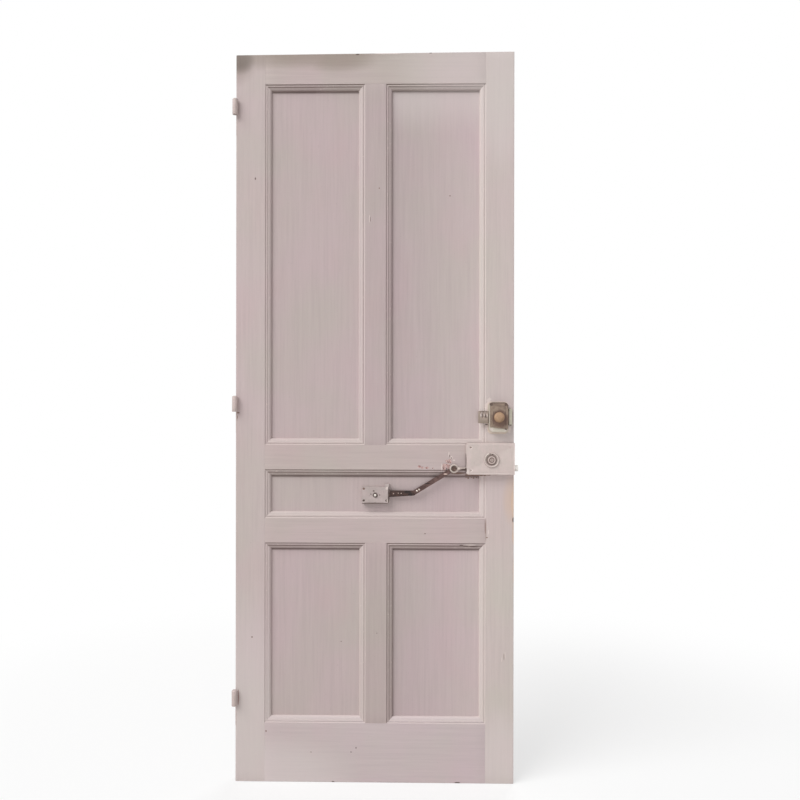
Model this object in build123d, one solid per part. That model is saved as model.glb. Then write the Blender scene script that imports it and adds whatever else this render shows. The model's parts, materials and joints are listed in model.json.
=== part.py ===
from build123d import *
import os
from math import atan2, cos, degrees, hypot, radians, sin

# A panelled front door leaf, seen from the room side with its locks.
# X runs along the width, from the hinges to the locks. Y runs through the thickness,
# from the room side to the street side. Z is up. The origin is the middle of the bottom edge.

# Leaf
leaf_width = 800.0
leaf_height = 2100.0
leaf_thickness = 40.0
top_edge_fall = 6.0
hinge_stile_width = 84.0
lock_stile_width = 81.0
muntin_width = 61.0
upper_muntin_x = 2.0
lower_muntin_x = 5.0
top_rail_height = 91.0
lock_rail_height = 71.5
middle_panel_height = 139.5
middle_rail_height = 71.3
lower_panel_height = 518.5
bottom_rail_height = 170.5

# Moulding run on the edges of the frame, the same on both faces
moulding_width = 18.0
quirk_width = 2.8
quirk_depth = 3.4
bead_width = 4.2
bead_rise = 2.1
fillet_width = 0.8
ovolo_start_depth = 2.2
ovolo_end_depth = 8.8
ovolo_bulge = 1.4
groove_depth = 12.0
panel_thickness = 16.0
panel_entry = 10.0
panel_play = 0.1

# Mortise and tenon joints
tenon_thickness = 13.0
tenon_length = 60.0
muntin_tenon_length = 30.0
tenon_shoulder = 15.0
joint_play = 0.1
mortise_end_play = 1.5

# Clearances of what moves and of what is screwed on
running_play = 0.4
hole_play = 0.1
bearing_play = 0.05
screw_end_play = 0.1
sheet = 2.0

# Lift-off hinges
hinge_leaf_thickness = 3.0
hinge_leaf_width = 35.0
hinge_leaf_height = 105.0
knuckle_radius = 8.0
knuckle_length = 46.0
knuckle_end_bevel = 3.0
knuckle_outstand = 1.0
knuckle_clear_of_face = 0.5
pin_bore_radius = 4.6
pin_bore_depth = 37.0
pin_bore_drill_point = 2.8
bottom_hinge_height = 221.0
middle_hinge_height = 1066.0
top_hinge_drop = 180.0
hinge_screw_from_edge = 9.0
hinge_screw_from_end = 14.0

# Screws
screw_shank_radius = 1.8
screw_head_radius = 3.6
screw_head_height = 2.2
screw_length = 14.0

# Cranks that turn a knob or a key into the slide of a bolt
bolt_crank_radius = 17.0
crank_pin_radius = 3.0
crank_thickness = 4.0
crank_arm_width = 9.0
crank_hub_radius = 8.5
shaft_radius = 5.0

# Draw set on the middle panel: a box with the crank, and a strap to the latch
spindle_x = 2.5
spindle_above_opening = 67.7
draw_box_width = 75.0
draw_box_height = 48.0
draw_box_depth = 19.0
draw_box_drop = 1.0
draw_screw_spread_x = 32.5
draw_screw_spread_z = 17.0
draw_screw_lift = 2.0
draw_screw_bite = 8.0
draw_crank_radius = 15.0
draw_swing = 21.5
strap_thickness = 3.0
strap_off_rail = 1.0
lower_strap_width = 19.0
lower_strap_end_width = 14.5
upper_strap_width = 13.0
strap_top_rise = 12.6
elbow_from_spindle = 109.5
strap_lap = 30.0
rivet_radius = 2.2
rivet_head_radius = 3.4
rivet_head_height = 1.4
rivet_spacing = 7.4
rivet_from_elbow = 12.4
rivet_from_end = 10.0
strap_head_wall = 2.2
bolt_tail_wall = 3.2
strap_neck_width = 10.0
guide_height = 55.0
guide_thickness = 2.5
guide_tab_width = 9.5
nut_radius = 6.0
nut_thickness = 4.0
nut_gap = 0.3
eye_outer_radius = 13.0
eye_inner_radius = 7.6
eye_thickness = 7.0
eye_from_lock = 33.5
draw_line_drop = 2.5
rod_radius = 4.5
rod_tip_radius = 3.0
rod_tip_length = 12.0

# Street side knob
rose_radius = 28.0
rose_thickness = 3.0
street_knob_radius = 30.0
street_knob_neck_radius = 11.0
street_knob_neck_length = 20.0
street_knob_head_length = 42.0
street_knob_socket = 30.0
knob_belly_share = 0.5
knob_edge_share = 0.3
socket_end_play = 0.5

# Rim lock
lock_width = 138.0
lock_height = 90.0
lock_depth = 22.0
lock_corner_radius = 8.0
lock_below_rail_middle = 2.05
lock_screw_inset = 12.5
lock_cap_screw_length = 3.4
lock_fixing_spread_x = 47.5
lock_fixing_spread_z = 25.0
pillar_radius = 5.0
latch_above_bottom = 18.5
latch_height = 17.5
latch_thickness = 12.0
latch_projection = 10.0
latch_head_length = 38.0
latch_tail_length = 76.0
latch_tail_height = 13.0
latch_bore_spare = 1.0
latch_bevel = 9.0
bolt_line_depth = 12.0
deadbolt_height = 30.0
deadbolt_above_bottom = 36.0
deadbolt_head_length = 27.0
deadbolt_setback = 1.0
deadbolt_tail_height = 18.5
deadbolt_tail_thickness = 5.0
deadbolt_tail_below_slot = 0.2
cylinder_from_edge = 65.5
cylinder_above_bottom = 41.5
cylinder_radius = 13.0
cylinder_swing = 35.0
collar_radius = 22.0
collar_thickness = 4.0
cylinder_outstand = 1.5
plug_outstand = 0.5
keyway_height = 7.0
keyway_width = 1.2
keyway_depth = 4.0
cylinder_shoulder = 5.0
spring_wire = 1.5
spring_solid_length = 19.0

# Night bolt
night_case_width = 54.0
night_case_height = 84.0
night_case_depth = 23.0
night_case_corner = 11.0
night_base_margin = 2.0
night_base_foot = 4.0
night_above_lock = 31.5
night_from_edge = 46.0
night_boss_width = 37.0
night_boss_height = 62.0
night_boss_rise = 3.0
night_screw_inset = 7.0
night_screw_bite = 14.0
night_bar_height = 35.0
night_bar_thickness = 8.0
night_bar_left = 57.0
night_bar_setback = 6.0
night_bar_off_base = 3.0
night_swing = 40.0
night_knob_radius = 15.0
night_knob_neck_radius = 8.0
night_knob_neck_length = 4.0
night_knob_head_length = 14.0
night_knob_socket = 10.0
tail_slot_width = 3.0
tail_slot_height = 16.0
tail_slot_lift = 7.0
tail_slot_pitch = 9.0
keeper_width = 9.0
keeper_height = 48.0
keeper_wall = 3.0
keeper_from_edge = 7.0

# Places that follow from the sizes above
face = -leaf_thickness / 2
half_width = leaf_width / 2
opening_left = -half_width + hinge_stile_width
opening_right = half_width - lock_stile_width
lower_muntin_left = lower_muntin_x - muntin_width / 2
lower_muntin_right = lower_muntin_x + muntin_width / 2
upper_muntin_left = upper_muntin_x - muntin_width / 2
upper_muntin_right = upper_muntin_x + muntin_width / 2
middle_rail_bottom = bottom_rail_height + lower_panel_height
middle_rail_top = middle_rail_bottom + middle_rail_height
lock_rail_bottom = middle_rail_top + middle_panel_height
lock_rail_top = lock_rail_bottom + lock_rail_height
top_rail_bottom = leaf_height - top_rail_height
panel_face = -panel_thickness / 2
past_leaf = 2 * leaf_thickness

lock_bottom = lock_rail_bottom + lock_rail_height / 2 - lock_below_rail_middle - lock_height / 2
lock_left = half_width - lock_width
latch_z = lock_bottom + latch_above_bottom
bolt_line_y = face - bolt_line_depth
cylinder_x = half_width - cylinder_from_edge
cylinder_z = lock_bottom + cylinder_above_bottom
lock_front = face - lock_depth

spindle_z = middle_rail_top + spindle_above_opening
strap_y = face - strap_off_rail
strap_top = spindle_z + strap_top_rise
elbow_x = spindle_x + elbow_from_spindle
elbow_z = strap_top - lower_strap_end_width / 2
eye_x = lock_left - eye_from_lock
draw_z = latch_z - draw_line_drop
box_front = panel_face - draw_box_depth
box_left = spindle_x - draw_box_width / 2
box_right = spindle_x + draw_box_width / 2
box_middle = spindle_z - draw_box_drop
box_bottom = box_middle - draw_box_height / 2
latch_travel = 2 * draw_crank_radius * sin(radians(draw_swing))

night_x = half_width - night_from_edge
night_z = lock_bottom + lock_height + night_above_lock + night_case_height / 2
night_base_front = face - sheet
night_front = night_base_front - night_case_depth

hinge_x = -half_width - knuckle_outstand
hinge_y = face - knuckle_radius - knuckle_clear_of_face
hinge_heights = [bottom_hinge_height, middle_hinge_height, leaf_height - top_hinge_drop]

LOW = (Align.MIN, Align.MIN, Align.MIN)
ON_Z = (Align.CENTER, Align.CENTER, Align.MIN)


def block(x, y, z):
    """A box between two values on each axis."""
    return Pos(x[0], y[0], z[0]) * Box(x[1] - x[0], y[1] - y[0], z[1] - z[0], align=LOW)


def round_bar(x, z, radius, y_front, y_back):
    """A cylinder that lies along Y."""
    return Pos(x, y_back, z) * Rot(90, 0, 0) * Cylinder(radius, y_back - y_front, align=ON_Z)


def plate(outline, y_front, y_back):
    """A flat piece of any outline, drawn in X and Z, between two depths."""
    return Pos(0, y_back, 0) * extrude(Plane.XZ * outline, amount=y_back - y_front)


def screw(grow=0.0, length=screw_length):
    """A countersunk screw that points down, its head level with zero, or the hole it needs."""
    shank = Pos(0, 0, -length) * Cylinder(screw_shank_radius + grow, length, align=ON_Z)
    head = Cone(screw_shank_radius + grow, screw_head_radius + grow, screw_head_height, align=ON_Z)
    return shank + Pos(0, 0, -screw_head_height) * head


def at_front(places, y, length=screw_length):
    """Screws driven into the room side, and the holes they need."""
    screws = [Pos(x, y, z) * Rot(90, 0, 0) * screw(length=length) for x, z in places]
    holes = [Pos(x, y, z) * Rot(90, 0, 0) * screw(hole_play, length + screw_end_play) for x, z in places]
    return screws, holes


def closed_face(lines):
    """A face inside a closed chain of lines and arcs."""
    return Face(Wire([edge for line in lines for edge in line.edges()]))


def moulding_side(side):
    """The moulded edge on one face, from the panel groove out to the flat of the frame."""
    surface = side * leaf_thickness / 2
    groove_wall = side * (panel_thickness / 2 + panel_play)
    quirk_floor = surface - side * quirk_depth
    bead_end = quirk_width + bead_width
    bead_top = (quirk_width + bead_width / 2, quirk_floor + side * bead_rise)
    step = bead_end + fillet_width
    ovolo_start = (step, surface - side * ovolo_start_depth)
    ovolo_end = (moulding_width, surface - side * ovolo_end_depth)
    half_depth = (ovolo_start_depth + ovolo_end_depth) / 2
    ovolo_crown = ((step + moulding_width) / 2 + ovolo_bulge, surface - side * (half_depth - ovolo_bulge))
    return [
        Polyline((moulding_width - groove_depth, groove_wall), (moulding_width, groove_wall), ovolo_end),
        ThreePointArc(ovolo_end, ovolo_crown, ovolo_start),
        Polyline(ovolo_start, (step, quirk_floor), (bead_end, quirk_floor)),
        ThreePointArc((bead_end, quirk_floor), bead_top, (quirk_width, quirk_floor)),
        Line((quirk_width, quirk_floor), (0, quirk_floor)),
    ]


def moulding_run(length):
    """A moulded and grooved edge along Z, mitred at both ends, standing out along X."""
    half = leaf_thickness / 2 - quirk_depth
    groove_floor = moulding_width - groove_depth
    groove_half = panel_thickness / 2 + panel_play
    lines = moulding_side(1) + moulding_side(-1)
    lines += [Line((0, -half), (0, half)), Line((groove_floor, -groove_half), (groove_floor, groove_half))]
    prism = extrude(closed_face(lines), amount=length, dir=(0, 0, 1))
    inner = (moulding_width, length - moulding_width)
    corners = [(0, 0), (0, length), inner, (moulding_width, moulding_width)]
    mitre = extrude(Plane.XZ * Polygon(*corners, align=None), amount=leaf_thickness, both=True)
    return prism & mitre


def run_on_right_of(x, bottom, top):
    return Pos(x, 0, bottom) * moulding_run(top - bottom)


def run_on_left_of(x, bottom, top):
    return Pos(x, 0, top) * Rot(0, 180, 0) * moulding_run(top - bottom)


def run_above(z, left, right):
    return Pos(right, 0, z) * Rot(0, -90, 0) * moulding_run(right - left)


def run_below(z, left, right):
    return Pos(left, 0, z) * Rot(0, 90, 0) * moulding_run(right - left)


def tenon(x, z, play=0.0):
    """A tenon, or with play the mortise for it."""
    half = tenon_thickness / 2 + play
    return block((x[0], x[1]), (-half, half), (z[0], z[1]))


def rail_tenons(bottom, top, play=0.0, end_play=0.0):
    """Both tenons of a rail, in one list."""
    z = (bottom + tenon_shoulder - play, top - tenon_shoulder + play)
    reach = tenon_length + end_play
    left = tenon((opening_left - reach, opening_left), z, play)
    right = tenon((opening_right, opening_right + reach), z, play)
    return [left, right]


def muntin_tenons(left, right, bottom, top, play=0.0, end_play=0.0):
    """Both tenons of a muntin, in one list."""
    x = (left + tenon_shoulder - play, right - tenon_shoulder + play)
    reach = muntin_tenon_length + end_play
    lower = tenon(x, (bottom - reach, bottom), play)
    upper = tenon(x, (top, top + reach), play)
    return [lower, upper]


rails = {
    "bottom_rail": (0.0, bottom_rail_height),
    "middle_rail": (middle_rail_bottom, middle_rail_top),
    "lock_rail": (lock_rail_bottom, lock_rail_top),
    "top_rail": (top_rail_bottom, leaf_height),
}
muntins = {
    "lower_muntin": (lower_muntin_left, lower_muntin_right, bottom_rail_height, middle_rail_bottom),
    "upper_muntin": (upper_muntin_left, upper_muntin_right, lock_rail_top, top_rail_bottom),
}
openings = {
    "lower_left_panel": (opening_left, lower_muntin_left, bottom_rail_height, middle_rail_bottom),
    "lower_right_panel": (lower_muntin_right, opening_right, bottom_rail_height, middle_rail_bottom),
    "middle_panel": (opening_left, opening_right, middle_rail_top, lock_rail_bottom),
    "upper_left_panel": (opening_left, upper_muntin_left, lock_rail_top, top_rail_bottom),
    "upper_right_panel": (upper_muntin_right, opening_right, lock_rail_top, top_rail_bottom),
}


def mortises():
    """Every mortise of the frame."""
    cuts = []
    for bottom, top in rails.values():
        cuts += rail_tenons(bottom, top, joint_play, mortise_end_play)
    for sides in muntins.values():
        cuts += muntin_tenons(*sides, joint_play, mortise_end_play)
    return cuts


def above_top_edge():
    """What the sloping top edge takes off."""
    low_end = (-half_width, leaf_height - top_edge_fall)
    corners = [low_end, (half_width, leaf_height), (-half_width, leaf_height)]
    return plate(Polygon(*corners, align=None), face, -face)


def frame_members():
    """Stiles, rails and muntins, with their mouldings, tenons and mortises."""
    thickness = (face, -face)
    members = {
        "hinge_stile": block((-half_width, opening_left), thickness, (0, leaf_height)),
        "lock_stile": block((opening_right, half_width), thickness, (0, leaf_height)),
    }
    for name, (bottom, top) in rails.items():
        members[name] = block((opening_left, opening_right), thickness, (bottom, top))
    for name, (left, right, bottom, top) in muntins.items():
        members[name] = block((left, right), thickness, (bottom, top))
    left_of = {opening_left: "hinge_stile"}
    right_of = {opening_right: "lock_stile"}
    below = {span[1]: name for name, span in rails.items()}
    above = {span[0]: name for name, span in rails.items()}
    muntin_above = {sides[2]: name for name, sides in muntins.items()}
    cuts = mortises()
    for name in members:
        members[name] = members[name] - cuts
    for left, right, bottom, top in openings.values():
        west = left_of.get(left) or muntin_above[bottom]
        east = right_of.get(right) or muntin_above[bottom]
        members[west] += run_on_right_of(left, bottom, top)
        members[east] += run_on_left_of(right, bottom, top)
        members[below[bottom]] += run_above(bottom, left, right)
        members[above[top]] += run_below(top, left, right)
    for name, (bottom, top) in rails.items():
        members[name] += rail_tenons(bottom, top)
    for name, sides in muntins.items():
        members[name] += muntin_tenons(*sides)
    for name in ("hinge_stile", "lock_stile", "top_rail"):
        members[name] -= above_top_edge()
    return members


def panels():
    """Flat panels, held in the grooves with room to swell."""
    inset = moulding_width - panel_entry
    made = {}
    for name, (left, right, bottom, top) in openings.items():
        wide = (left + inset, right - inset)
        made[name] = block(wide, (panel_face, -panel_face), (bottom + inset, top - inset))
    return made


def hinge_leaf(height):
    """The door half of a lift-off hinge: a recessed leaf and a knuckle with a drilled blind bore."""
    leaf_x = (-half_width, -half_width + hinge_leaf_thickness)
    leaf_bottom = height + knuckle_length - hinge_leaf_height
    leaf = block(leaf_x, (face, face + hinge_leaf_width), (leaf_bottom, height + knuckle_length))
    straight = knuckle_length - knuckle_end_bevel
    neck = block(leaf_x, (hinge_y, face), (height, height + straight))
    barrel = Cylinder(knuckle_radius, knuckle_length, align=ON_Z)
    barrel = chamfer(barrel.edges().sort_by(Axis.Z)[-1], length=knuckle_end_bevel)
    knuckle = Pos(hinge_x, hinge_y, height) * barrel
    drilled = Cylinder(pin_bore_radius, pin_bore_depth, align=ON_Z)
    drilled += Pos(0, 0, pin_bore_depth) * Cone(pin_bore_radius, 0, pin_bore_drill_point, align=ON_Z)
    return leaf + (neck + knuckle - Pos(hinge_x, hinge_y, height) * drilled)


def hinge_screw_places(height):
    """Middle points of the four screws of one hinge, in Y and Z."""
    top = height + knuckle_length
    bottom = top - hinge_leaf_height
    rows = (bottom + hinge_screw_from_end, top - hinge_screw_from_end)
    inner = (rows[0] + (rows[1] - rows[0]) / 3, rows[1] - (rows[1] - rows[0]) / 3)
    near = face + hinge_screw_from_edge
    far = face + hinge_leaf_width - hinge_screw_from_edge
    return [(near, rows[0]), (far, inner[0]), (near, inner[1]), (far, rows[1])]


def crank(x, z, radius, angle, y, pin_to):
    """A hub with an arm, and a pin that stands off it. The angle leans from upright to +X."""
    pin_x = x + radius * sin(radians(angle))
    pin_z = z + radius * cos(radians(angle))
    hub = round_bar(x, z, crank_hub_radius, *y)
    arm_outline = Pos(x, z) * Rot(0, 0, 90 - angle) * Pos(radius / 2, 0) * SlotCenterToCenter(
        radius, crank_arm_width)
    arm = plate(arm_outline, *y)
    low, high = min(y[0], pin_to), max(y[1], pin_to)
    pin = round_bar(pin_x, pin_z, crank_pin_radius, low, high)
    bore = round_bar(x, z, shaft_radius + bearing_play, *y)
    return hub + arm + pin - bore


def pin_slot(x, z, radius, angle):
    """The outline that a crank pin needs in its slide over the swing."""
    half = crank_pin_radius + running_play
    lowest = z + radius * cos(radians(angle)) - half
    highest = z + radius + half
    left = x + radius * sin(radians(angle)) - half
    right = left + 2 * half
    return [(left, lowest), (right, lowest), (right, highest), (left, highest)]


def draw_box():
    """Base plate and cover of the draw set, with the holes for spindle, strap and screws."""
    x = (box_left, box_right)
    z = (box_bottom, box_bottom + draw_box_height)
    base_front = panel_face - sheet
    base = block(x, (base_front, panel_face), z)
    cover = block(x, (box_front, base_front), z)
    inside = block((x[0] + sheet, x[1] - sheet), (box_front + sheet, base_front),
                   (z[0] + sheet, z[1] - sheet))
    spindle_hole = round_bar(spindle_x, spindle_z, shaft_radius + bearing_play, box_front, panel_face)
    places = [(spindle_x + i * draw_screw_spread_x, box_middle + draw_screw_lift + j * draw_screw_spread_z)
              for i in (-1, 1) for j in (-1, 1)]
    screws, holes = at_front(places, box_front, draw_box_depth + draw_screw_bite)
    posts = [round_bar(px, pz, pillar_radius, box_front, base_front) for px, pz in places]
    cover = cover - inside + posts - spindle_hole - strap_window() - holes
    return base - spindle_hole - holes, cover, screws, holes


def strap_window():
    """The opening that the lower strap slides through."""
    z = (strap_top - lower_strap_width - running_play, strap_top + running_play)
    y = (strap_y - strap_thickness - running_play, strap_y + running_play)
    return block((box_right - sheet, box_right + guide_thickness), y, z)


def strap_direction():
    """Unit step along the upper strap, from the elbow to the eye."""
    run = eye_x - elbow_x
    rise = draw_z - elbow_z
    length = (run ** 2 + rise ** 2) ** 0.5
    return run / length, rise / length


def strap_strip(start, end, width):
    """The four corners of a straight strip between two distances from the elbow."""
    along_x, along_z = strap_direction()
    half = width / 2
    corners = []
    for distance, side in ((start, -1), (end, -1), (end, 1), (start, 1)):
        x = elbow_x + along_x * distance - along_z * half * side
        z = elbow_z + along_z * distance + along_x * half * side
        corners.append((x, z))
    return Polygon(*corners, align=None)


def rivet_places():
    """Middle points of the two rivets, along the upper strap."""
    along_x, along_z = strap_direction()
    distances = (rivet_from_elbow, rivet_from_elbow + rivet_spacing)
    return [(elbow_x + along_x * d, elbow_z + along_z * d) for d in distances]


def lower_strap():
    """The dogleg strap: a slotted head over the crank pin, a level run and a lap that rises."""
    bottom = strap_top - lower_strap_width
    elbow_bottom = strap_top - lower_strap_end_width
    slot = pin_slot(spindle_x, spindle_z, draw_crank_radius, draw_swing)
    head_left = slot[0][0] - strap_head_wall
    head_bottom = slot[0][1] - strap_head_wall
    head_top = slot[2][1] + strap_head_wall
    neck_left = spindle_x + shaft_radius + latch_travel + 2 * running_play
    neck_right = neck_left + strap_neck_width
    outline = Polygon(
        (head_left, head_bottom), (neck_left, head_bottom), (neck_left, bottom), (box_right, bottom),
        (elbow_x, elbow_bottom), (elbow_x, strap_top), (neck_right, strap_top),
        (slot[1][0] + strap_head_wall, head_top), (head_left, head_top), align=None)
    elbow = Pos(elbow_x, elbow_z) * Circle(lower_strap_end_width / 2)
    lap = strap_strip(0, strap_lap, upper_strap_width)
    y = (strap_y - strap_thickness, strap_y)
    body = plate(outline, *y) + plate(elbow, *y) + plate(lap, *y) - plate(Polygon(*slot, align=None), *y)
    return body - [round_bar(x, z, rivet_radius + hole_play, *y) for x, z in rivet_places()]


def upper_strap():
    """The strap that rises to the eye, riveted on the front of the lower one."""
    length = (eye_x - elbow_x) / strap_direction()[0]
    y = (strap_y - 2 * strap_thickness, strap_y - strap_thickness)
    start = rivet_from_elbow - rivet_from_end
    strip = plate(strap_strip(start, length, upper_strap_width), *y)
    end = round_bar(eye_x, draw_z, upper_strap_width / 2, *y)
    holes = [round_bar(x, z, rivet_radius + hole_play, *y) for x, z in rivet_places()]
    holes.append(round_bar(eye_x, draw_z, rivet_radius + hole_play, *y))
    return strip + end - holes


def strap_rivets():
    """Two rivets with low heads on both sides of the lap."""
    back = strap_y
    front = strap_y - 2 * strap_thickness
    made = []
    for x, z in rivet_places():
        shank = round_bar(x, z, rivet_radius, front - rivet_head_height, back)
        head = round_bar(x, z, rivet_head_radius, front - rivet_head_height, front)
        made.append(shank + head)
    return made


def eye_stud():
    """The stud that the eye hangs on, riveted through the end of the upper strap."""
    front = strap_y - 2 * strap_thickness
    stud_radius = eye_inner_radius - running_play
    shoulder = round_bar(eye_x, draw_z, stud_radius, bolt_line_y - eye_thickness / 4, front)
    return shoulder + round_bar(eye_x, draw_z, rivet_radius, front, front + strap_thickness)


def eye_rod():
    """The eye and the rod that screws into the latch, forged in one."""
    y = (bolt_line_y - eye_thickness / 2, bolt_line_y + eye_thickness / 2)
    ring = round_bar(eye_x, draw_z, eye_outer_radius, *y)
    tail_end = half_width + latch_projection - latch_head_length - latch_tail_length
    start = eye_x + (eye_outer_radius + eye_inner_radius) / 2
    rod = on_draw_line(start) * Cylinder(rod_radius, tail_end - start, align=ON_Z)
    tip = on_draw_line(tail_end) * Cylinder(rod_tip_radius, rod_tip_length, align=ON_Z)
    return ring + rod + tip - round_bar(eye_x, draw_z, eye_inner_radius, *y)


def on_draw_line(x):
    """Turns a piece that stands on zero so that it points to +X on the rod's line."""
    return Pos(x, bolt_line_y, draw_z) * Rot(0, 90, 0)


def latch_bolt():
    """A bevelled head and a slimmer tail, tapped for the rod."""
    nose = half_width + latch_projection
    root = nose - latch_head_length
    y = (bolt_line_y - latch_thickness / 2, bolt_line_y + latch_thickness / 2)
    head = block((root, nose), y, (latch_z - latch_height / 2, latch_z + latch_height / 2))
    bevel = Polygon((nose, y[0]), (nose, y[1]), (nose - latch_bevel, y[1]), align=None)
    head -= Pos(0, 0, latch_z - latch_height) * extrude(bevel, amount=2 * latch_height)
    tail_end = root - latch_tail_length
    tail = block((tail_end, root), y, (draw_z - latch_tail_height / 2, draw_z + latch_tail_height / 2))
    bore = on_draw_line(tail_end) * Cylinder(rod_tip_radius + hole_play, rod_tip_length + latch_bore_spare,
                                             align=ON_Z)
    return head + tail - bore


def latch_spring():
    """The return spring round the rod, at its length when the latch is drawn back."""
    outer = Cylinder(rod_radius + running_play + spring_wire, spring_solid_length, align=ON_Z)
    inner = Cylinder(rod_radius + running_play, spring_solid_length, align=ON_Z)
    return on_draw_line(lock_left + sheet) * (outer - inner)


def deadbolt_layers():
    """Depths of the deadbolt's tail and of the cam behind it."""
    tail_front = lock_front + sheet + cylinder_shoulder
    tail_back = tail_front + deadbolt_tail_thickness
    cam_front = tail_back + running_play
    return (tail_front, tail_back), (cam_front, cam_front + crank_thickness)


def deadbolt():
    """A plain bolt with a tail that the cam drives."""
    nose = half_width - deadbolt_setback
    root = nose - deadbolt_head_length
    bottom = lock_bottom + deadbolt_above_bottom
    y = (bolt_line_y - latch_thickness / 2, bolt_line_y + latch_thickness / 2)
    head = block((root, nose), y, (bottom, bottom + deadbolt_height))
    slot = pin_slot(cylinder_x, cylinder_z, bolt_crank_radius, -cylinder_swing)
    tail_bottom = slot[0][1] - deadbolt_tail_below_slot
    tail_y = deadbolt_layers()[0]
    tail = block((slot[0][0] - bolt_tail_wall, root), tail_y,
                 (tail_bottom, tail_bottom + deadbolt_tail_height))
    notch = Polygon(*slot, align=None)
    return head + tail - plate(notch, *tail_y)


def rim_lock():
    """Case and back plate, with windows for bolts, rod and cylinder."""
    x = (lock_left, half_width)
    z = (lock_bottom, lock_bottom + lock_height)
    back = face - sheet
    case = block(x, (lock_front, back), z)
    case = fillet(case.edges().filter_by(Axis.Y).sort_by(Axis.X)[:2], radius=lock_corner_radius)
    base = Pos(0, back - lock_front, 0) * (case & block(x, (lock_front, lock_front + sheet), z))
    inside = block((x[0] + sheet, x[1] - sheet), (lock_front + sheet, back), (z[0] + sheet, z[1] - sheet))
    windows = [
        window(latch_z - latch_height / 2, latch_z + latch_height / 2),
        window(lock_bottom + deadbolt_above_bottom, lock_bottom + deadbolt_above_bottom + deadbolt_height),
    ]
    rod_hole = on_draw_line(lock_left) * Cylinder(rod_radius + running_play, sheet, align=ON_Z)
    bore = round_bar(cylinder_x, cylinder_z, cylinder_radius + hole_play, lock_front, face)
    inset = lock_screw_inset
    places = [(x[0] + inset, z[0] + inset), (x[0] + inset, z[1] - inset), (x[1] - inset, z[1] - inset)]
    screws, holes = at_front(places, lock_front, lock_cap_screw_length)
    pillar_end = lock_front + lock_cap_screw_length + screw_end_play
    pillars = [round_bar(px, pz, pillar_radius, lock_front, pillar_end) for px, pz in places]
    case = case - inside + pillars - windows - rod_hole - bore - holes
    middle = (x[0] + x[1]) / 2, (z[0] + z[1]) / 2
    fixings = [(middle[0] + i * lock_fixing_spread_x, middle[1] + j * lock_fixing_spread_z)
               for i in (-1, 1) for j in (-1, 1)]
    fixing_screws, fixing_holes = at_front(fixings, back, sheet + screw_length)
    return case, base - bore - fixing_holes, screws, fixing_screws, fixing_holes


def window(bottom, top):
    """An opening for a bolt in the lock's end wall."""
    half = latch_thickness / 2 + running_play
    return block((half_width - 2 * sheet, half_width + sheet), (bolt_line_y - half, bolt_line_y + half),
                 (bottom - running_play, top + running_play))


def cylinder_set():
    """Collar, both cylinder halves, the through plug with its cam, and the street rose."""
    tail_y, cam_y = deadbolt_layers()
    x, z = cylinder_x, cylinder_z
    plug_bore = round_bar(x, z, shaft_radius + bearing_play, -past_leaf, past_leaf)
    inside_front = lock_front - collar_thickness - cylinder_outstand
    street_back = -face + collar_thickness + cylinder_outstand
    collar = round_bar(x, z, collar_radius, lock_front - collar_thickness, lock_front)
    collar -= round_bar(x, z, cylinder_radius + hole_play, -past_leaf, past_leaf)
    rose = round_bar(x, z, collar_radius, -face, -face + collar_thickness)
    rose -= round_bar(x, z, cylinder_radius + hole_play, -past_leaf, past_leaf)
    room_half = round_bar(x, z, cylinder_radius, inside_front, tail_y[0] - running_play) - plug_bore
    street_half = round_bar(x, z, cylinder_radius, cam_y[1] + running_play, street_back) - plug_bore
    plug_y = (inside_front - plug_outstand, street_back + plug_outstand)
    plug = round_bar(x, z, shaft_radius, *plug_y)
    keyway_x = (x - keyway_width / 2, x + keyway_width / 2)
    keyway_z = (z - keyway_height / 2, z + keyway_height / 2)
    for y in ((plug_y[0], plug_y[0] + keyway_depth), (plug_y[1] - keyway_depth, plug_y[1])):
        plug -= block(keyway_x, y, keyway_z)
    cam = crank(x, z, bolt_crank_radius, -cylinder_swing, cam_y, tail_y[0])
    return collar, rose, room_half, street_half, plug, cam


def turned_knob(neck_radius, neck_length, head_radius, head_length, socket_depth):
    """A knob turned about Y from zero: a neck, a flaring back, a round edge and a domed front.

    The edge arc touches the dome from inside, so both arcs share one tangent where they meet.
    """
    belly = neck_length + head_length * knob_belly_share
    end = neck_length + head_length
    edge_radius = knob_edge_share * head_radius
    edge_x = head_radius - edge_radius
    rise = end - edge_radius - belly
    drop = (edge_x ** 2 - rise ** 2) / (2 * rise)
    turn = degrees(atan2(drop, edge_x))
    outline = [
        Polyline((0, end), (0, 0), (neck_radius, 0), (neck_radius, neck_length), (head_radius, belly)),
        CenterArc((edge_x, belly), edge_radius, 0, turn),
        CenterArc((0, belly - drop), hypot(edge_x, drop) + edge_radius, turn, 90 - turn),
    ]
    socket = round_bar(0, 0, shaft_radius + bearing_play, 0, socket_depth)
    return revolve(closed_face(outline), Axis.Y) - socket


def street_knob():
    """The knob on the street side, with its rose and the depth that the spindle reaches."""
    back = -panel_face
    rose = round_bar(spindle_x, spindle_z, rose_radius, back, back + rose_thickness)
    rose -= round_bar(spindle_x, spindle_z, shaft_radius + hole_play, back, back + rose_thickness)
    start = back + rose_thickness + running_play
    knob = turned_knob(street_knob_neck_radius, street_knob_neck_length, street_knob_radius,
                       street_knob_head_length, street_knob_socket)
    return rose, Pos(spindle_x, start, spindle_z) * knob, start + street_knob_socket - socket_end_play


def night_outline(width, height):
    return Pos(night_x, night_z) * RectangleRounded(width, height, night_case_corner)


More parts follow.
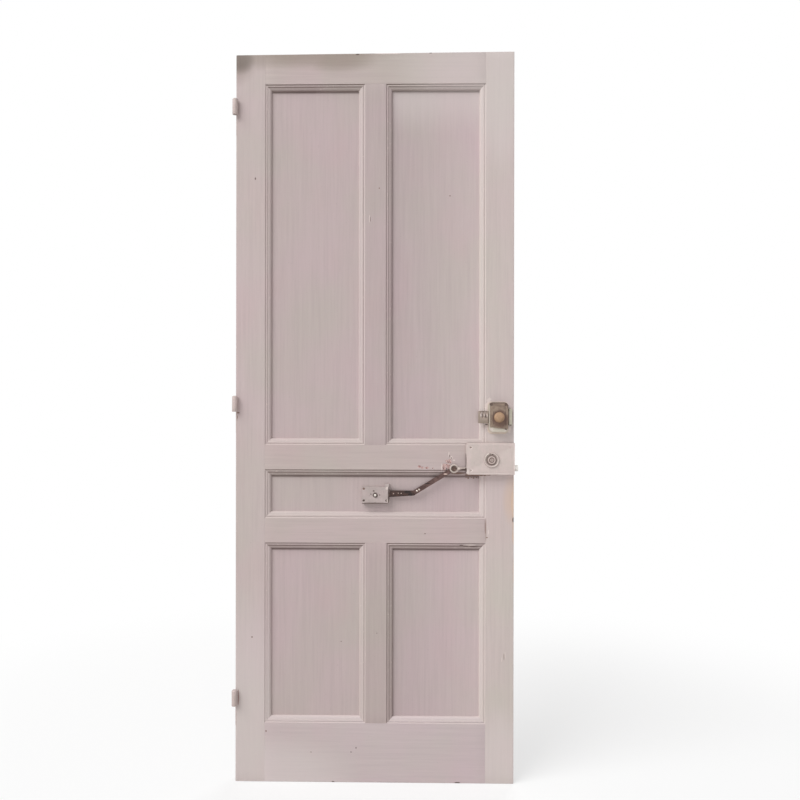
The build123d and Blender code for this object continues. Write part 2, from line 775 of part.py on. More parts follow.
def night_bolt():
    """Base plate, case and keeper of the night bolt, with windows for the bar."""
    base_height = night_case_height + 2 * night_base_margin + night_base_foot
    base_outline = night_outline(night_case_width + 2 * night_base_margin, base_height)
    base = Pos(0, 0, -night_base_foot / 2) * plate(base_outline, night_base_front, face)
    shell = plate(night_outline(night_case_width, night_case_height), night_front, night_base_front)
    inner = night_outline(night_case_width - 2 * sheet, night_case_height - 2 * sheet)
    shell -= plate(inner, night_front + sheet, night_base_front)
    boss_outline = night_outline(night_boss_width, night_boss_height)
    boss = plate(boss_outline, night_front - night_boss_rise, night_front)
    bar_window = night_bar_box(running_play, half_width)
    sx = night_case_width / 2 - night_screw_inset
    sz = night_case_height / 2 - night_screw_inset
    places = [(night_x + i * sx, night_z + j * sz) for i in (-1, 1) for j in (-1, 1)]
    length = night_case_depth + sheet + night_screw_bite
    screws, holes = at_front(places, night_front, length)
    posts = [round_bar(px, pz, pillar_radius, night_front, night_base_front) for px, pz in places]
    shaft_hole = round_bar(night_x, night_z, shaft_radius + bearing_play, -past_leaf, past_leaf)
    case = shell + boss + posts - shaft_hole - bar_window - holes
    keeper_x = (half_width - keeper_from_edge - keeper_width, half_width - keeper_from_edge)
    keeper_y = (night_bar_y()[0] - running_play - keeper_wall, face)
    keeper = block(keeper_x, keeper_y, (night_z - keeper_height / 2, night_z + keeper_height / 2))
    return base - holes, case, keeper - bar_window, screws, holes


def night_bar_y():
    back = night_base_front - night_bar_off_base
    return back - night_bar_thickness, back


def night_bar_box(play, right):
    """The bar as a plain box, or with play the room that it needs."""
    y = night_bar_y()
    half = night_bar_height / 2 + play
    left = night_x - night_bar_left
    return block((left, right), (y[0] - play, y[1] + play), (night_z - half, night_z + half))


def night_bar():
    """The bolt bar, with the notch for the crank pin and two slots in its tail."""
    bar = night_bar_box(0.0, half_width - night_bar_setback)
    y = night_bar_y()
    slot = pin_slot(night_x, night_z, bolt_crank_radius, -night_swing)
    bar -= plate(Polygon(*slot, align=None), *y)
    for step in (1, 2):
        x = night_x - night_bar_left + step * tail_slot_pitch
        bottom = night_z + tail_slot_lift - tail_slot_height / 2
        bar -= block((x, x + tail_slot_width), y, (bottom, bottom + tail_slot_height))
    return bar


def night_knob():
    """The turned knob, its shaft and the crank behind the case front."""
    bar_y = night_bar_y()
    crank_y = (bar_y[0] - running_play - crank_thickness, bar_y[0] - running_play)
    start = night_front - night_boss_rise - running_play
    knob = turned_knob(night_knob_neck_radius, night_knob_neck_length, night_knob_radius,
                       night_knob_head_length, night_knob_socket)
    head = Pos(night_x, start, night_z) * Rot(180, 0, 0) * knob
    shaft_front = start - night_knob_socket + socket_end_play
    shaft = round_bar(night_x, night_z, shaft_radius, shaft_front, crank_y[1])
    pin_back = bar_y[1] - running_play
    return head, shaft, crank(night_x, night_z, bolt_crank_radius, -night_swing, crank_y, pin_back)


def make_parts():
    """Every piece of the door, by name."""
    parts = frame_members()
    parts.update(panels())

    hinge_names = ("bottom_hinge", "middle_hinge", "top_hinge")
    hinge_screws = []
    for name, height in zip(hinge_names, hinge_heights):
        leaf = hinge_leaf(height)
        bottom = height + knuckle_length - hinge_leaf_height
        recess = block((-half_width, -half_width + hinge_leaf_thickness), (face, face + hinge_leaf_width),
                       (bottom, height + knuckle_length))
        places = [Pos(-half_width, y, z) * Rot(0, -90, 0) for y, z in hinge_screw_places(height)]
        holes = [place * screw(hole_play, screw_length + screw_end_play) for place in places]
        parts[name] = leaf - holes
        parts["hinge_stile"] = parts["hinge_stile"] - recess - holes
        hinge_screws += [place * screw() for place in places]
    parts["hinge_screws"] = hinge_screws

    base, cover, screws, holes = draw_box()
    parts["draw_base_plate"] = base
    parts["draw_cover"] = cover
    parts["draw_screws"] = screws
    rose, knob, spindle_end = street_knob()
    through = round_bar(spindle_x, spindle_z, shaft_radius + running_play, panel_face, -panel_face)
    parts["middle_panel"] = parts["middle_panel"] - through - holes
    parts["street_rose"] = rose
    parts["street_knob"] = knob
    parts["spindle"] = round_bar(spindle_x, spindle_z, shaft_radius, box_front - nut_thickness, spindle_end)
    crank_y = (strap_y + running_play, strap_y + running_play + crank_thickness)
    pin_front = strap_y - strap_thickness - running_play
    parts["draw_crank"] = crank(spindle_x, spindle_z, draw_crank_radius, draw_swing, crank_y, pin_front)
    nut_bore = round_bar(spindle_x, spindle_z, shaft_radius + bearing_play, -past_leaf, past_leaf)
    nut = round_bar(spindle_x, spindle_z, nut_radius, box_front - nut_thickness, box_front - nut_gap)
    parts["spindle_nut"] = nut - nut_bore
    parts["strap_guide"] = strap_guide()
    parts["lower_strap"] = lower_strap()
    parts["upper_strap"] = upper_strap()
    parts["strap_rivets"] = strap_rivets()
    parts["eye_stud"] = eye_stud()
    parts["eye_rod"] = eye_rod()
    parts["latch_bolt"] = latch_bolt()
    parts["latch_spring"] = latch_spring()

    case, back, screws, fixing_screws, holes = rim_lock()
    parts["lock_case"] = case
    parts["lock_back_plate"] = back
    parts["lock_screws"] = screws
    parts["lock_fixing_screws"] = fixing_screws
    parts["deadbolt"] = deadbolt()
    collar, street_collar, room_half, street_half, plug, cam = cylinder_set()
    parts["cylinder_collar"] = collar
    parts["street_cylinder_rose"] = street_collar
    parts["room_cylinder"] = room_half
    parts["street_cylinder"] = street_half
    parts["cylinder_plug"] = plug
    parts["cylinder_cam"] = cam
    bore = round_bar(cylinder_x, cylinder_z, cylinder_radius + hole_play, face, -face)
    parts["lock_stile"] = parts["lock_stile"] - bore - holes
    parts["lock_rail"] = parts["lock_rail"] - bore - holes

    base, case, keeper, screws, holes = night_bolt()
    parts["night_base_plate"] = base
    parts["night_case"] = case
    parts["night_keeper"] = keeper
    parts["night_screws"] = screws
    parts["lock_stile"] = parts["lock_stile"] - holes
    parts["night_bar"] = night_bar()
    knob, shaft, knob_crank = night_knob()
    parts["night_knob"] = knob
    parts["night_shaft"] = shaft
    parts["night_crank"] = knob_crank
    return parts


def strap_guide():
    """The end bracket of the draw box, with a window that guides the strap."""
    x = (box_right, box_right + guide_thickness)
    bottom = box_bottom + sheet
    top = bottom + guide_height
    wall = block(x, (box_front + sheet, panel_face), (bottom, top))
    tab = block((x[0] - guide_tab_width, x[1]), (box_front, box_front + sheet),
                (box_bottom + draw_box_height, top))
    return wall + tab - strap_window()


os.makedirs("parts", exist_ok=True)
for name, made in make_parts().items():
    shape = Compound(children=made) if isinstance(made, list) else made
    export_step(shape, f"parts/{name}.step")
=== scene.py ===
# %% [markdown]
# A panelled front door, seen from the room side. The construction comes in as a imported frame:
# each timber and each piece of hardware is a node in its true place. This file gives them
# their looks. Lengths are metres, Z is up and the room side of the door faces -Y.

# %% Load the frame
import json
from math import cos, pi, radians, sin, tau

import bpy
import bmesh
import numpy as np
from mathutils import Matrix, Vector


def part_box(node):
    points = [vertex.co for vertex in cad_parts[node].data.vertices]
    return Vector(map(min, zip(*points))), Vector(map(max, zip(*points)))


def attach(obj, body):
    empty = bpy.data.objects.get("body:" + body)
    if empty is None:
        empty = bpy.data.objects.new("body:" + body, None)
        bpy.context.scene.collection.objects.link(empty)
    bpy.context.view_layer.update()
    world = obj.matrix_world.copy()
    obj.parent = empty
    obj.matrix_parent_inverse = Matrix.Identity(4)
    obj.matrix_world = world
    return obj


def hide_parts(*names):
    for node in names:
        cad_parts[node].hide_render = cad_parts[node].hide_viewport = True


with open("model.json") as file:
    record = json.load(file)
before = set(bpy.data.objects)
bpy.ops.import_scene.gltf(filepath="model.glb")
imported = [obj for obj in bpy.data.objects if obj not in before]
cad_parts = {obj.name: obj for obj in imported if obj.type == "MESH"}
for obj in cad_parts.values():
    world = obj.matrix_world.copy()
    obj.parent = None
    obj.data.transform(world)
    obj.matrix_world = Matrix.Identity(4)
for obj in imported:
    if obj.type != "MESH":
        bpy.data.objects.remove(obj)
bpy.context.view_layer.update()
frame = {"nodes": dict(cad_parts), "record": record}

MM = 0.001

# %% [markdown]
# The camera stands where the photographer stood: a little over two metres back, level with
# the locks, a touch right of the middle and turned one degree to the left. A focal length of
# 36 mm on a 36 mm sensor gives the same framing on a square picture.

# %% Camera
camera_place = (0.1130, -2.3217, 1.1018)
camera_turn_left = radians(0.987)
camera_tilt_up = radians(-0.034)
camera_roll = radians(-0.085)
lens_mm, sensor_mm = 36.05, 36.0

camera_data = bpy.data.cameras.new("camera")
camera_data.lens = lens_mm
camera_data.sensor_width = sensor_mm
camera = bpy.data.objects.new("camera", camera_data)
bpy.context.scene.collection.objects.link(camera)
facing = Matrix.Rotation(camera_turn_left, 4, "Z") @ Matrix.Rotation(pi / 2 + camera_tilt_up, 4, "X")
camera.matrix_world = Matrix.Translation(camera_place) @ facing @ Matrix.Rotation(-camera_roll, 4, "Z")
bpy.context.scene.camera = camera
print("camera at", camera_place)

# %% [markdown]
# Shader maths reads best as sums. A small class wraps a socket and overloads the operators,
# so that an expression on values adds its own Math nodes. Every other node comes from one
# method, `node`, which takes the node's type, its settings and the values of its sockets.


# %% Shader toolkit
def feed(tree, slot, value):
    """Links a wire to a socket, or sets the socket to a plain value."""
    if isinstance(value, Wire):
        tree.links.new(value.socket, slot)
    else:
        slot.default_value = value


def math_operator(operation, reflected=False):
    """A method of Wire that adds the Math node of that operation."""
    def method(self, other):
        return self.math(operation, *((other, self) if reflected else (self, other)))
    return method


class Wire:
    """A node socket that can be added, multiplied and compared like a number."""

    def __init__(self, tree, socket):
        self.tree = tree
        self.socket = socket

    def math(self, operation, *values, clamp=False):
        made = self.tree.nodes.new("ShaderNodeMath")
        made.operation = operation
        made.use_clamp = clamp
        for slot, value in zip(made.inputs, values):
            feed(self.tree, slot, value)
        return Wire(self.tree, made.outputs[0])

    __add__, __radd__ = math_operator("ADD"), math_operator("ADD", reflected=True)
    __sub__, __rsub__ = math_operator("SUBTRACT"), math_operator("SUBTRACT", reflected=True)
    __mul__, __rmul__ = math_operator("MULTIPLY"), math_operator("MULTIPLY", reflected=True)
    __truediv__, __rtruediv__ = math_operator("DIVIDE"), math_operator("DIVIDE", reflected=True)
    power, most, least = math_operator("POWER"), math_operator("MAXIMUM"), math_operator("MINIMUM")

    def size(self):
        return self.math("ABSOLUTE", self)

    def clipped(self):
        return self.math("ADD", self, 0.0, clamp=True)

    def rises(self, low, high):
        """0 below low, 1 above high and smooth between them; swap the two to fall instead."""
        made = self.tree.nodes.new("ShaderNodeMapRange")
        made.interpolation_type = "SMOOTHSTEP"
        if low > high:
            low, high = high, low
            made.inputs["To Min"].default_value = 1.0
            made.inputs["To Max"].default_value = 0.0
        made.inputs["From Min"].default_value = low
        made.inputs["From Max"].default_value = high
        feed(self.tree, made.inputs["Value"], self)
        return Wire(self.tree, made.outputs["Result"])


class Finish:
    """A material under construction: makes nodes, mixes colours and sets the shader."""

    def __init__(self, name):
        self.material = bpy.data.materials.new(name)
        self.material.use_nodes = True
        self.tree = self.material.node_tree
        self.tree.nodes.clear()
        self.output = self.tree.nodes.new("ShaderNodeOutputMaterial")
        self.shader = self.tree.nodes.new("ShaderNodeBsdfPrincipled")
        self.tree.links.new(self.shader.outputs[0], self.output.inputs["Surface"])
        self.place = self.node("ShaderNodeTexCoord", out="Object")

    def node(self, kind, settings=None, out=0, numbered=None, **named):
        """Adds a node: its settings first, then its sockets, and returns the asked output.

        Sockets go by name, with _ for a space, or by number where several share a name.
        """
        made = self.tree.nodes.new(kind)
        for key, value in (settings or {}).items():
            setattr(made, key, value)
        for key, value in named.items():
            feed(self.tree, made.inputs[key.replace("_", " ")], value)
        for key, value in (numbered or {}).items():
            feed(self.tree, made.inputs[key], value)
        return Wire(self.tree, made.outputs[out])

    def stretched(self, x, y, z, shift=(0.0, 0.0, 0.0)):
        """The object's own coordinates times a factor on each axis."""
        return self.node("ShaderNodeMapping", Vector=self.place, Scale=(x, y, z), Location=shift)

    def noise(self, scale, detail=4.0, rough=0.55, at=None):
        """Noise from 0 to 1 with its middle near 0.5."""
        return self.node("ShaderNodeTexNoise", Vector=at or self.place, Scale=scale, Detail=detail,
                         Roughness=rough, out="Fac")

    def axes(self):
        """X, Y and Z of the object's own coordinates, as three wires."""
        split = self.node("ShaderNodeSeparateXYZ", Vector=self.place).socket.node
        return [Wire(self.tree, out) for out in split.outputs]

    def attribute(self, name):
        return self.node("ShaderNodeAttribute", {"attribute_name": name}, out="Fac")

    def mix(self, amount, low, high):
        """One colour where amount is 0 and another where it is 1."""
        return self.node("ShaderNodeMix", {"data_type": "RGBA"}, 2, {0: amount, 6: low, 7: high})

    def bump(self, height, distance, strength):
        return self.node("ShaderNodeBump", Height=height, Distance=distance, Strength=strength)

    def finish(self, **sockets):
        """Sets or links the shader's sockets and hands the material over."""
        for key, value in sockets.items():
            feed(self.tree, self.shader.inputs[key.replace("_", " ")], value)
        return self.material


def colour(red, green, blue):
    """A screen colour from 0 to 255, as the linear values that a shader wants."""
    linear = [((c / 255 + 0.055) / 1.055) ** 2.4 if c > 10 else c / 255 / 12.92 for c in (red, green, blue)]
    return (*linear, 1.0)


WHITE, BLACK = (1.0, 1.0, 1.0, 1.0), (0.0, 0.0, 0.0, 1.0)
print("shader toolkit: Wire and Finish")

# %% [markdown]
# The door stands on a pale studio floor in front of a pale backdrop. Camera, glossy and
# transmitted rays see the surroundings as white; the light on the door comes from three
# soft lamps, the strongest high on the left, as the shadows under the mouldings ask.

# %% Stage and lights
bpy.context.scene.view_settings.view_transform = "Standard"


def plain_stage():
    """One square of floor that shows paler to the camera the farther it lies."""
    reach = 6.0
    mesh = bpy.data.meshes.new("floor")
    corners = [(-reach, -reach, 0.0), (reach, -reach, 0.0), (reach, reach, 0.0), (-reach, reach, 0.0)]
    mesh.from_pydata(corners, [], [(0, 1, 2, 3)])
    floor = bpy.data.objects.new("floor", mesh)
    bpy.context.scene.collection.objects.link(floor)
    paint = Finish("floor_paint")
    seen = paint.node("ShaderNodeLightPath", out="Is Camera Ray")
    pale = paint.mix(seen, colour(206, 203, 200), colour(250, 250, 250))
    floor.data.materials.append(paint.finish(Base_Color=pale, Roughness=0.9))
    x, y, z = paint.axes()
    far = (x * x + y * y).rises(0.8, 5.0)
    shown_white = seen * (far * 0.45 + 0.55)
    white = paint.node("ShaderNodeEmission", Color=WHITE, Strength=1.0)
    painted = Wire(paint.tree, paint.shader.outputs[0])
    mixed = paint.node("ShaderNodeMixShader", numbered={0: shown_white, 1: painted, 2: white})
    feed(paint.tree, paint.output.inputs["Surface"], mixed)


def white_surroundings(light, shown):
    """A world that lights the door softly and shows as plain white behind it."""
    world = bpy.data.worlds.new("surroundings")
    world.use_nodes = True
    tree = world.node_tree
    tree.nodes.clear()
    path = tree.nodes.new("ShaderNodeLightPath")
    seen = Wire(tree, path.outputs["Is Camera Ray"]).most(Wire(tree, path.outputs["Is Glossy Ray"]))
    seen = seen.most(Wire(tree, path.outputs["Is Transmission Ray"]))
    background = tree.nodes.new("ShaderNodeBackground")
    background.inputs["Color"].default_value = WHITE
    feed(tree, background.inputs["Strength"], seen * (shown - light) + light)
    output = tree.nodes.new("ShaderNodeOutputWorld")
    tree.links.new(background.outputs[0], output.inputs["Surface"])
    bpy.context.scene.world = world


def lamp(name, place, target, size, power):
    """A square soft lamp that looks at a point."""
    data = bpy.data.lights.new(name, "AREA")
    data.shape = "SQUARE"
    data.size = size
    data.energy = power
    made = bpy.data.objects.new(name, data)
    bpy.context.scene.collection.objects.link(made)
    aim = (Vector(target) - Vector(place)).to_track_quat("-Z", "Y")
    made.matrix_world = Matrix.Translation(place) @ aim.to_matrix().to_4x4()


plain_stage()
white_surroundings(light=0.34, shown=1.0)
door_middle, door_foot = (0.0, 0.0, 1.05), (0.0, 0.0, 0.4)
lamp("key", (-9.6, -8.6, 13.1), door_middle, 13.0, 2560)
lamp("fill", (0.6, -4.4, 0.7), door_foot, 1.6, 36)
lamp("street_fill", (1.2, 3.6, 2.6), door_middle, 2.4, 50)
print("three lamps and a white surround")

# %% [markdown]
# Almost every piece here is a loft: a closed section carried through a row of rings. A board
# is a rounded rectangle carried along its length, a moulding is its profile carried between
# two mitres, a knob is a circle whose radius follows a profile. One function turns the rings
# into faces, so that all the shapes are plain arrays. Each point may carry two numbers, how
# much dirt and painted shade gathers there and how exposed the edge is, which the materials
# read.


# %% Lofts from rings
def loft(rings, dirt_and_shade=0.0, edge=0.0, ring_shut=False):
    """Joins rings of equal length, shape (rings, points, 3), by quads.

    Each ring runs round the section once. The first and last ring get a cap, or with
    ring_shut the last ring joins the first again, as on a washer.
    """
    rings = np.asarray(rings, float)
    rows, around = rings.shape[:2]
    index = np.arange(rows * around).reshape(rows, around)
    if ring_shut:
        index = np.concatenate([index, index[:1]])
    beside = np.roll(index, -1, axis=1)
    quads = np.stack([index[:-1], beside[:-1], beside[1:], index[1:]], axis=-1).reshape(-1, 4)
    caps = [] if ring_shut else [index[0][::-1], index[-1]]
    marks = [np.broadcast_to(np.asarray(v, float), (rows, around)).ravel() for v in (dirt_and_shade, edge)]
    return rings.reshape(-1, 3), quads, caps, marks


def weld(built, within=1e-6):
    """Joins points that lie in one place."""
    bmesh.ops.remove_doubles(built, verts=built.verts, dist=within)


def welded_mesh(name, surfaces):
    """One mesh from several lofts, welded and with its faces turned outwards."""
    points = np.concatenate([s[0] for s in surfaces])
    starts = np.cumsum([0] + [len(s[0]) for s in surfaces[:-1]])
    quads = np.concatenate([s[1] + start for s, start in zip(surfaces, starts)])
    caps = [cap + start for s, start in zip(surfaces, starts) for cap in s[2]]
    corners = np.concatenate([quads.reshape(-1)] + caps)
    sizes = np.concatenate([np.full(len(quads), 4), [len(cap) for cap in caps]]).astype(int)
    mesh = bpy.data.meshes.new(name)
    mesh.vertices.add(len(points))
    mesh.vertices.foreach_set("co", points.ravel())
    mesh.loops.add(len(corners))
    mesh.loops.foreach_set("vertex_index", corners)
    mesh.polygons.add(len(sizes))
    mesh.polygons.foreach_set("loop_start", np.concatenate([[0], np.cumsum(sizes)[:-1]]))
    for place, title in enumerate(("dirt_and_shade", "edge")):
        layer = mesh.attributes.new(title, "FLOAT", "POINT")
        layer.data.foreach_set("value", np.concatenate([s[3][place] for s in surfaces]))
    mesh.update(calc_edges=True)
    built = bmesh.new()
    built.from_mesh(mesh)
    weld(built)
    bmesh.ops.recalc_face_normals(built, faces=built.faces)
    built.to_mesh(mesh)
    built.free()
    return mesh


def stand_in(name, mesh, node, material):
    """Puts a mesh in the scene in place of a CAD node, on that node's body."""
    made = bpy.data.objects.new(name, mesh)
    bpy.context.scene.collection.objects.link(made)
    made.data.materials.append(material)
    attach(made, body_of[node])
    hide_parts(node)
    return made


def piece(name, surfaces, node, material, smooth=35.0):
    """An object from lofts that stands for a CAD node."""
    mesh = welded_mesh(name, surfaces)
    mesh.shade_smooth()
    mesh.set_sharp_from_angle(angle=radians(smooth))
    stand_in(name, mesh, node, material)


def softened(node, radius, material, segments=3):
    """A welded copy of a node whose sharp edges a bevel of a radius in millimetres rounds."""
    mesh = frame["nodes"][node].data.copy()
    mesh.name = f"{node}_soft"
    built = bmesh.new()
    built.from_mesh(mesh)
    weld(built)
    bmesh.ops.dissolve_limit(built, angle_limit=radians(0.5), verts=built.verts, edges=built.edges)
    built.to_mesh(mesh)
    built.free()
    mesh.materials.clear()
    mesh.shade_smooth()
    made = stand_in(mesh.name, mesh, node, material)
    round_off = made.modifiers.new("round_off", "BEVEL")
    round_off.width = radius * MM
    round_off.segments = segments
    round_off.limit_method = "ANGLE"
    round_off.angle_limit = radians(30)
    round_off.use_clamp_overlap = True
    round_off.harden_normals = True


def repaint(node, material):
    """Gives a CAD node that stays as it is its material."""
    slots = frame["nodes"][node].data.materials
    slots.clear()
    slots.append(material)


body_of = {node: body for body, nodes in frame["record"]["behaviour"]["bodies"].items() for node in nodes}

# %% [markdown]
# The paint is old, brushed on thickly and matt, a pale grey pink. Its looks are sums of a few
# noises: broad clouds of a warmer and a cooler tone, streaks that the brush left along the
# grain, and fine hairlines between them. The quirks hold dirt and painted shade, most on the
# upper and left sides, while on the lower and right sides a painted highlight makes them paler.
# Exposed arrises are rubbed to a paler undercoat, and here and there to the bare wood. What the
# photograph shows at one place only, a knock, a chip or a drip, is a spot with a ragged rim at
# that place; painted shade, painted light and a broad worn patch are spots that fade out softly.


# %% Painted wood
UPRIGHT, LEVEL = (1.0, 1.0, 0.03), (0.03, 1.0, 1.0)
DARK, PINK, BARE, PALE, DRIP, SORE = "dark", "pink", "bare", "pale", "drip", "sore"
# The soft kinds: the first two paint shade, the third paints light, and the last is a warm worn patch.
SHADE, DEEPER_SHADE, PAINTED_LIGHT, WORN = "shade", "stain", "wash", "worn"
soft_kinds = (SHADE, DEEPER_SHADE, PAINTED_LIGHT, WORN)
mark_colours = {
    SHADE: colour(120, 108, 88), DEEPER_SHADE: colour(60, 50, 34), PAINTED_LIGHT: colour(214, 205, 203),
    WORN: colour(208, 180, 158), PALE: colour(222, 208, 203), DRIP: colour(128, 102, 91),
    BARE: colour(210, 184, 165), PINK: colour(226, 198, 193), SORE: colour(146, 100, 95),
    DARK: colour(88, 70, 64)}
ragged_rim, soft_rim = (1.25, 0.65), (2.0, 0.0)


def spots(f, x, z, places, ragged, rim=ragged_rim):
    """Where any of some places (x, z, half width, half height, in millimetres) lies, from 0 to 1."""
    found = None
    for across, up, half_wide, half_high in places:
        dx = (x - across * MM) / (half_wide * MM)
        dz = (z - up * MM) / (half_high * MM)
        here = (dx * dx + dz * dz + ragged * min(1.0, min(half_wide, half_high) / 5.0)).rises(*rim)
        found = here if found is None else found.most(here)
    return found


def painted_wood(name, tone, grain, marks, opening=None, worn=0.6, lean=0.0):
    """Brushed oil paint on timber.

    marks gives, for each kind, places (x, z, half width, half height). With an opening, its left,
    right, bottom and top, painted shade darkens the panel under the upper line and beside the
    left one, as the mouldings would shade it, and lean darkens the left side by that share, a
    painted shade as well.
    """
    f = Finish(name)
    x, y, z = f.axes()
    red, green, blue = tone
    clouds = f.noise(3.1, 3.0, 0.55)
    blush = f.noise(8.0, 2.0, 0.5, at=f.stretched(1.0, 1.0, 0.6, shift=(3.0, 1.0, 7.0)))
    streaks = f.noise(1.0, 3.0, 0.65, at=f.stretched(*(170.0 * g for g in grain)))
    hairs = f.noise(1.0, 2.0, 0.6, at=f.stretched(*(620.0 * g for g in grain)))
    specks = f.noise(310.0, 1.0, 0.5)

    def shifted(r, g, b):
        return colour(red + r, green + g, blue + b)

    body = f.mix(clouds.rises(0.3, 0.7), shifted(-3, 1, -3), shifted(3, -1, 2))
    body = f.mix(blush.rises(0.45, 0.75) * 0.4, body, shifted(3, -5, -3))
    body = f.mix(streaks.rises(0.42, 0.72) * 0.30, body, shifted(-15, -15, -14))
    body = f.mix(streaks.rises(0.45, 0.25) * 0.22, body, shifted(10, 10, 10))
    body = f.mix(hairs.rises(0.5, 0.8) * 0.16, body, shifted(-22, -22, -20))
    body = f.mix(specks.rises(0.74, 0.8) * 0.4, body, shifted(-45, -48, -48))

    dirt_and_shade = f.attribute("dirt_and_shade")
    if opening:
        left, right, bottom, top = opening
        # Painted shade: darker under the opening's upper line and beside its left line.
        dirt_and_shade = ((x - left).rises(0.006, 0.0) * 0.2).most((top - z).rises(0.0075, 0.001) * 1.25)
        # Painted shade: darker towards the left side by the share lean.
        body = f.mix(((right - x) * (lean / (right - left))).clipped(), body, BLACK)
    # Dirt and painted shade darken the quirks and the shaded edges of the panels; where the value falls below
    # 0, a painted highlight makes the lit quirks paler.
    dirt_and_shade_share = (dirt_and_shade * (clouds * 0.5 + blush * 0.6 + 0.25)).clipped()
    body = f.mix(dirt_and_shade_share * 0.74, body, colour(96, 78, 73))
    body = f.mix((0.0 - dirt_and_shade).clipped() * 0.9, body, colour(224, 212, 208))

    edge = f.attribute("edge")
    chips = f.noise(140.0, 4.0, 0.65)
    rubbed = edge * chips.rises(0.62 - 0.1 * worn, 0.72)
    body = f.mix(rubbed * 0.8, body, mark_colours[PALE])
    body = f.mix(edge * chips.rises(0.71, 0.76) * worn, body, mark_colours[BARE])
    relief = streaks * 0.5 + hairs * 0.3 + clouds * 0.5 - rubbed * 0.5

    ragged = (chips - 0.5) * 4.0
    room_side = y.rises(0.004, -0.004)
    for kind, paint in mark_colours.items():
        if kind in marks:
            soft = kind in soft_kinds
            found = spots(f, x, z, marks[kind], 0.0 if soft else ragged, soft_rim if soft else ragged_rim)
            found = found * room_side
            if kind == PINK:
                strokes = f.noise(1.0, 3.0, 0.7, at=f.stretched(700.0, 700.0, 220.0))
                paint = f.mix(strokes.rises(0.44, 0.54), paint, mark_colours[SORE])
            body = f.mix(found * (0.5 if soft else 0.9), body, paint)
            relief = relief - found * (0.0 if soft else 0.2 if kind == DRIP else 1.0)
    return f.finish(Base_Color=body, Roughness=(0.46 + streaks * 0.16 + dirt_and_shade_share * 0.25).clipped(),
                    Normal=f.bump(relief, 0.0004, 0.7), Specular_IOR_Level=0.35)


# %% [markdown]
# Each timber of the frame is a board with rounded arrises, planed by hand and painted many
# times, so its faces waver by a tenth of a millimetre. Along each opening its edge is worked
# into a moulding: a sunk quirk, a half-round bead, a step and a flattened quarter round that
# drops to the panel. The mouldings meet in mitres. The sizes are those of the construction.

# %% Timber shapes
FACE = 20 * MM
leaf_left, leaf_right = -400 * MM, 400 * MM
leaf_top, top_fall, falling_height = 2100 * MM, 6 * MM, 50 * MM
opening_left, opening_right = -316 * MM, 319 * MM
lower_muntin_sides = (-25.5 * MM, 35.5 * MM)
upper_muntin_sides = (-28.5 * MM, 32.5 * MM)
bottom_rail_top, middle_rail_sides = 170.5 * MM, (689 * MM, 760.3 * MM)
lock_rail_sides, top_rail_bottom = (899.8 * MM, 971.3 * MM), 2009 * MM
moulding_width = 18 * MM
outer_arris, joint_arris, arris_band = 1.5 * MM, 0.25 * MM, 2.5 * MM
recess_depth, recess_back = 3 * MM, 15 * MM
ring_spacing = 30 * MM
# How much dirt and painted shade each side's quirks take: the upper and left sides darker, while below 0 the
# lower and right ones get a painted highlight.
shade_and_highlight_by_side = {"top": 1.0, "left": 0.32, "right": -0.5, "bottom": -0.5}


def waver(x, z, depth):
    """Unevenness from 0 to depth: the mean of three slow sine waves with no common period."""
    waves = np.sin(23 * z + 5 * x) + np.sin(11 * z - 31 * x + 1.1) + np.sin(47 * z + 17 * x + 2.3)
    return depth * (0.5 + waves / 6)


def rounded_section(low, high, radii, steps=5):
    """A rectangle with rounded corners, counter-clockwise, with how exposed each point is.

    Corner k is the arc centre + r (cos t, sin t), with t over the quarter turn from 90k degrees.
    One more point on either side of each arc keeps the wear of the arris beside it.
    """
    corners = [(high[0], high[1]), (low[0], high[1]), (low[0], low[1]), (high[0], low[1])]
    points, exposed = [], []
    for k, (corner, radius) in enumerate(zip(corners, radii)):
        inward = np.array([-1 if k in (0, 3) else 1, -1 if k in (0, 1) else 1], float)
        centre = np.array(corner) + radius * inward
        turn = np.linspace(k * pi / 2, (k + 1) * pi / 2, steps)
        arc = centre + radius * np.stack([np.cos(turn), np.sin(turn)], 1)
        before, after = np.array([sin(turn[0]), -cos(turn[0])]), np.array([-sin(turn[-1]), cos(turn[-1])])
        points += [arc[:1] + before * arris_band, arc, arc[-1:] + after * arris_band]
        exposed += [[0.0], np.full(steps, 1.0 if radius > joint_arris else 0.5), [0.0]]
    return np.concatenate(points), np.concatenate(exposed)


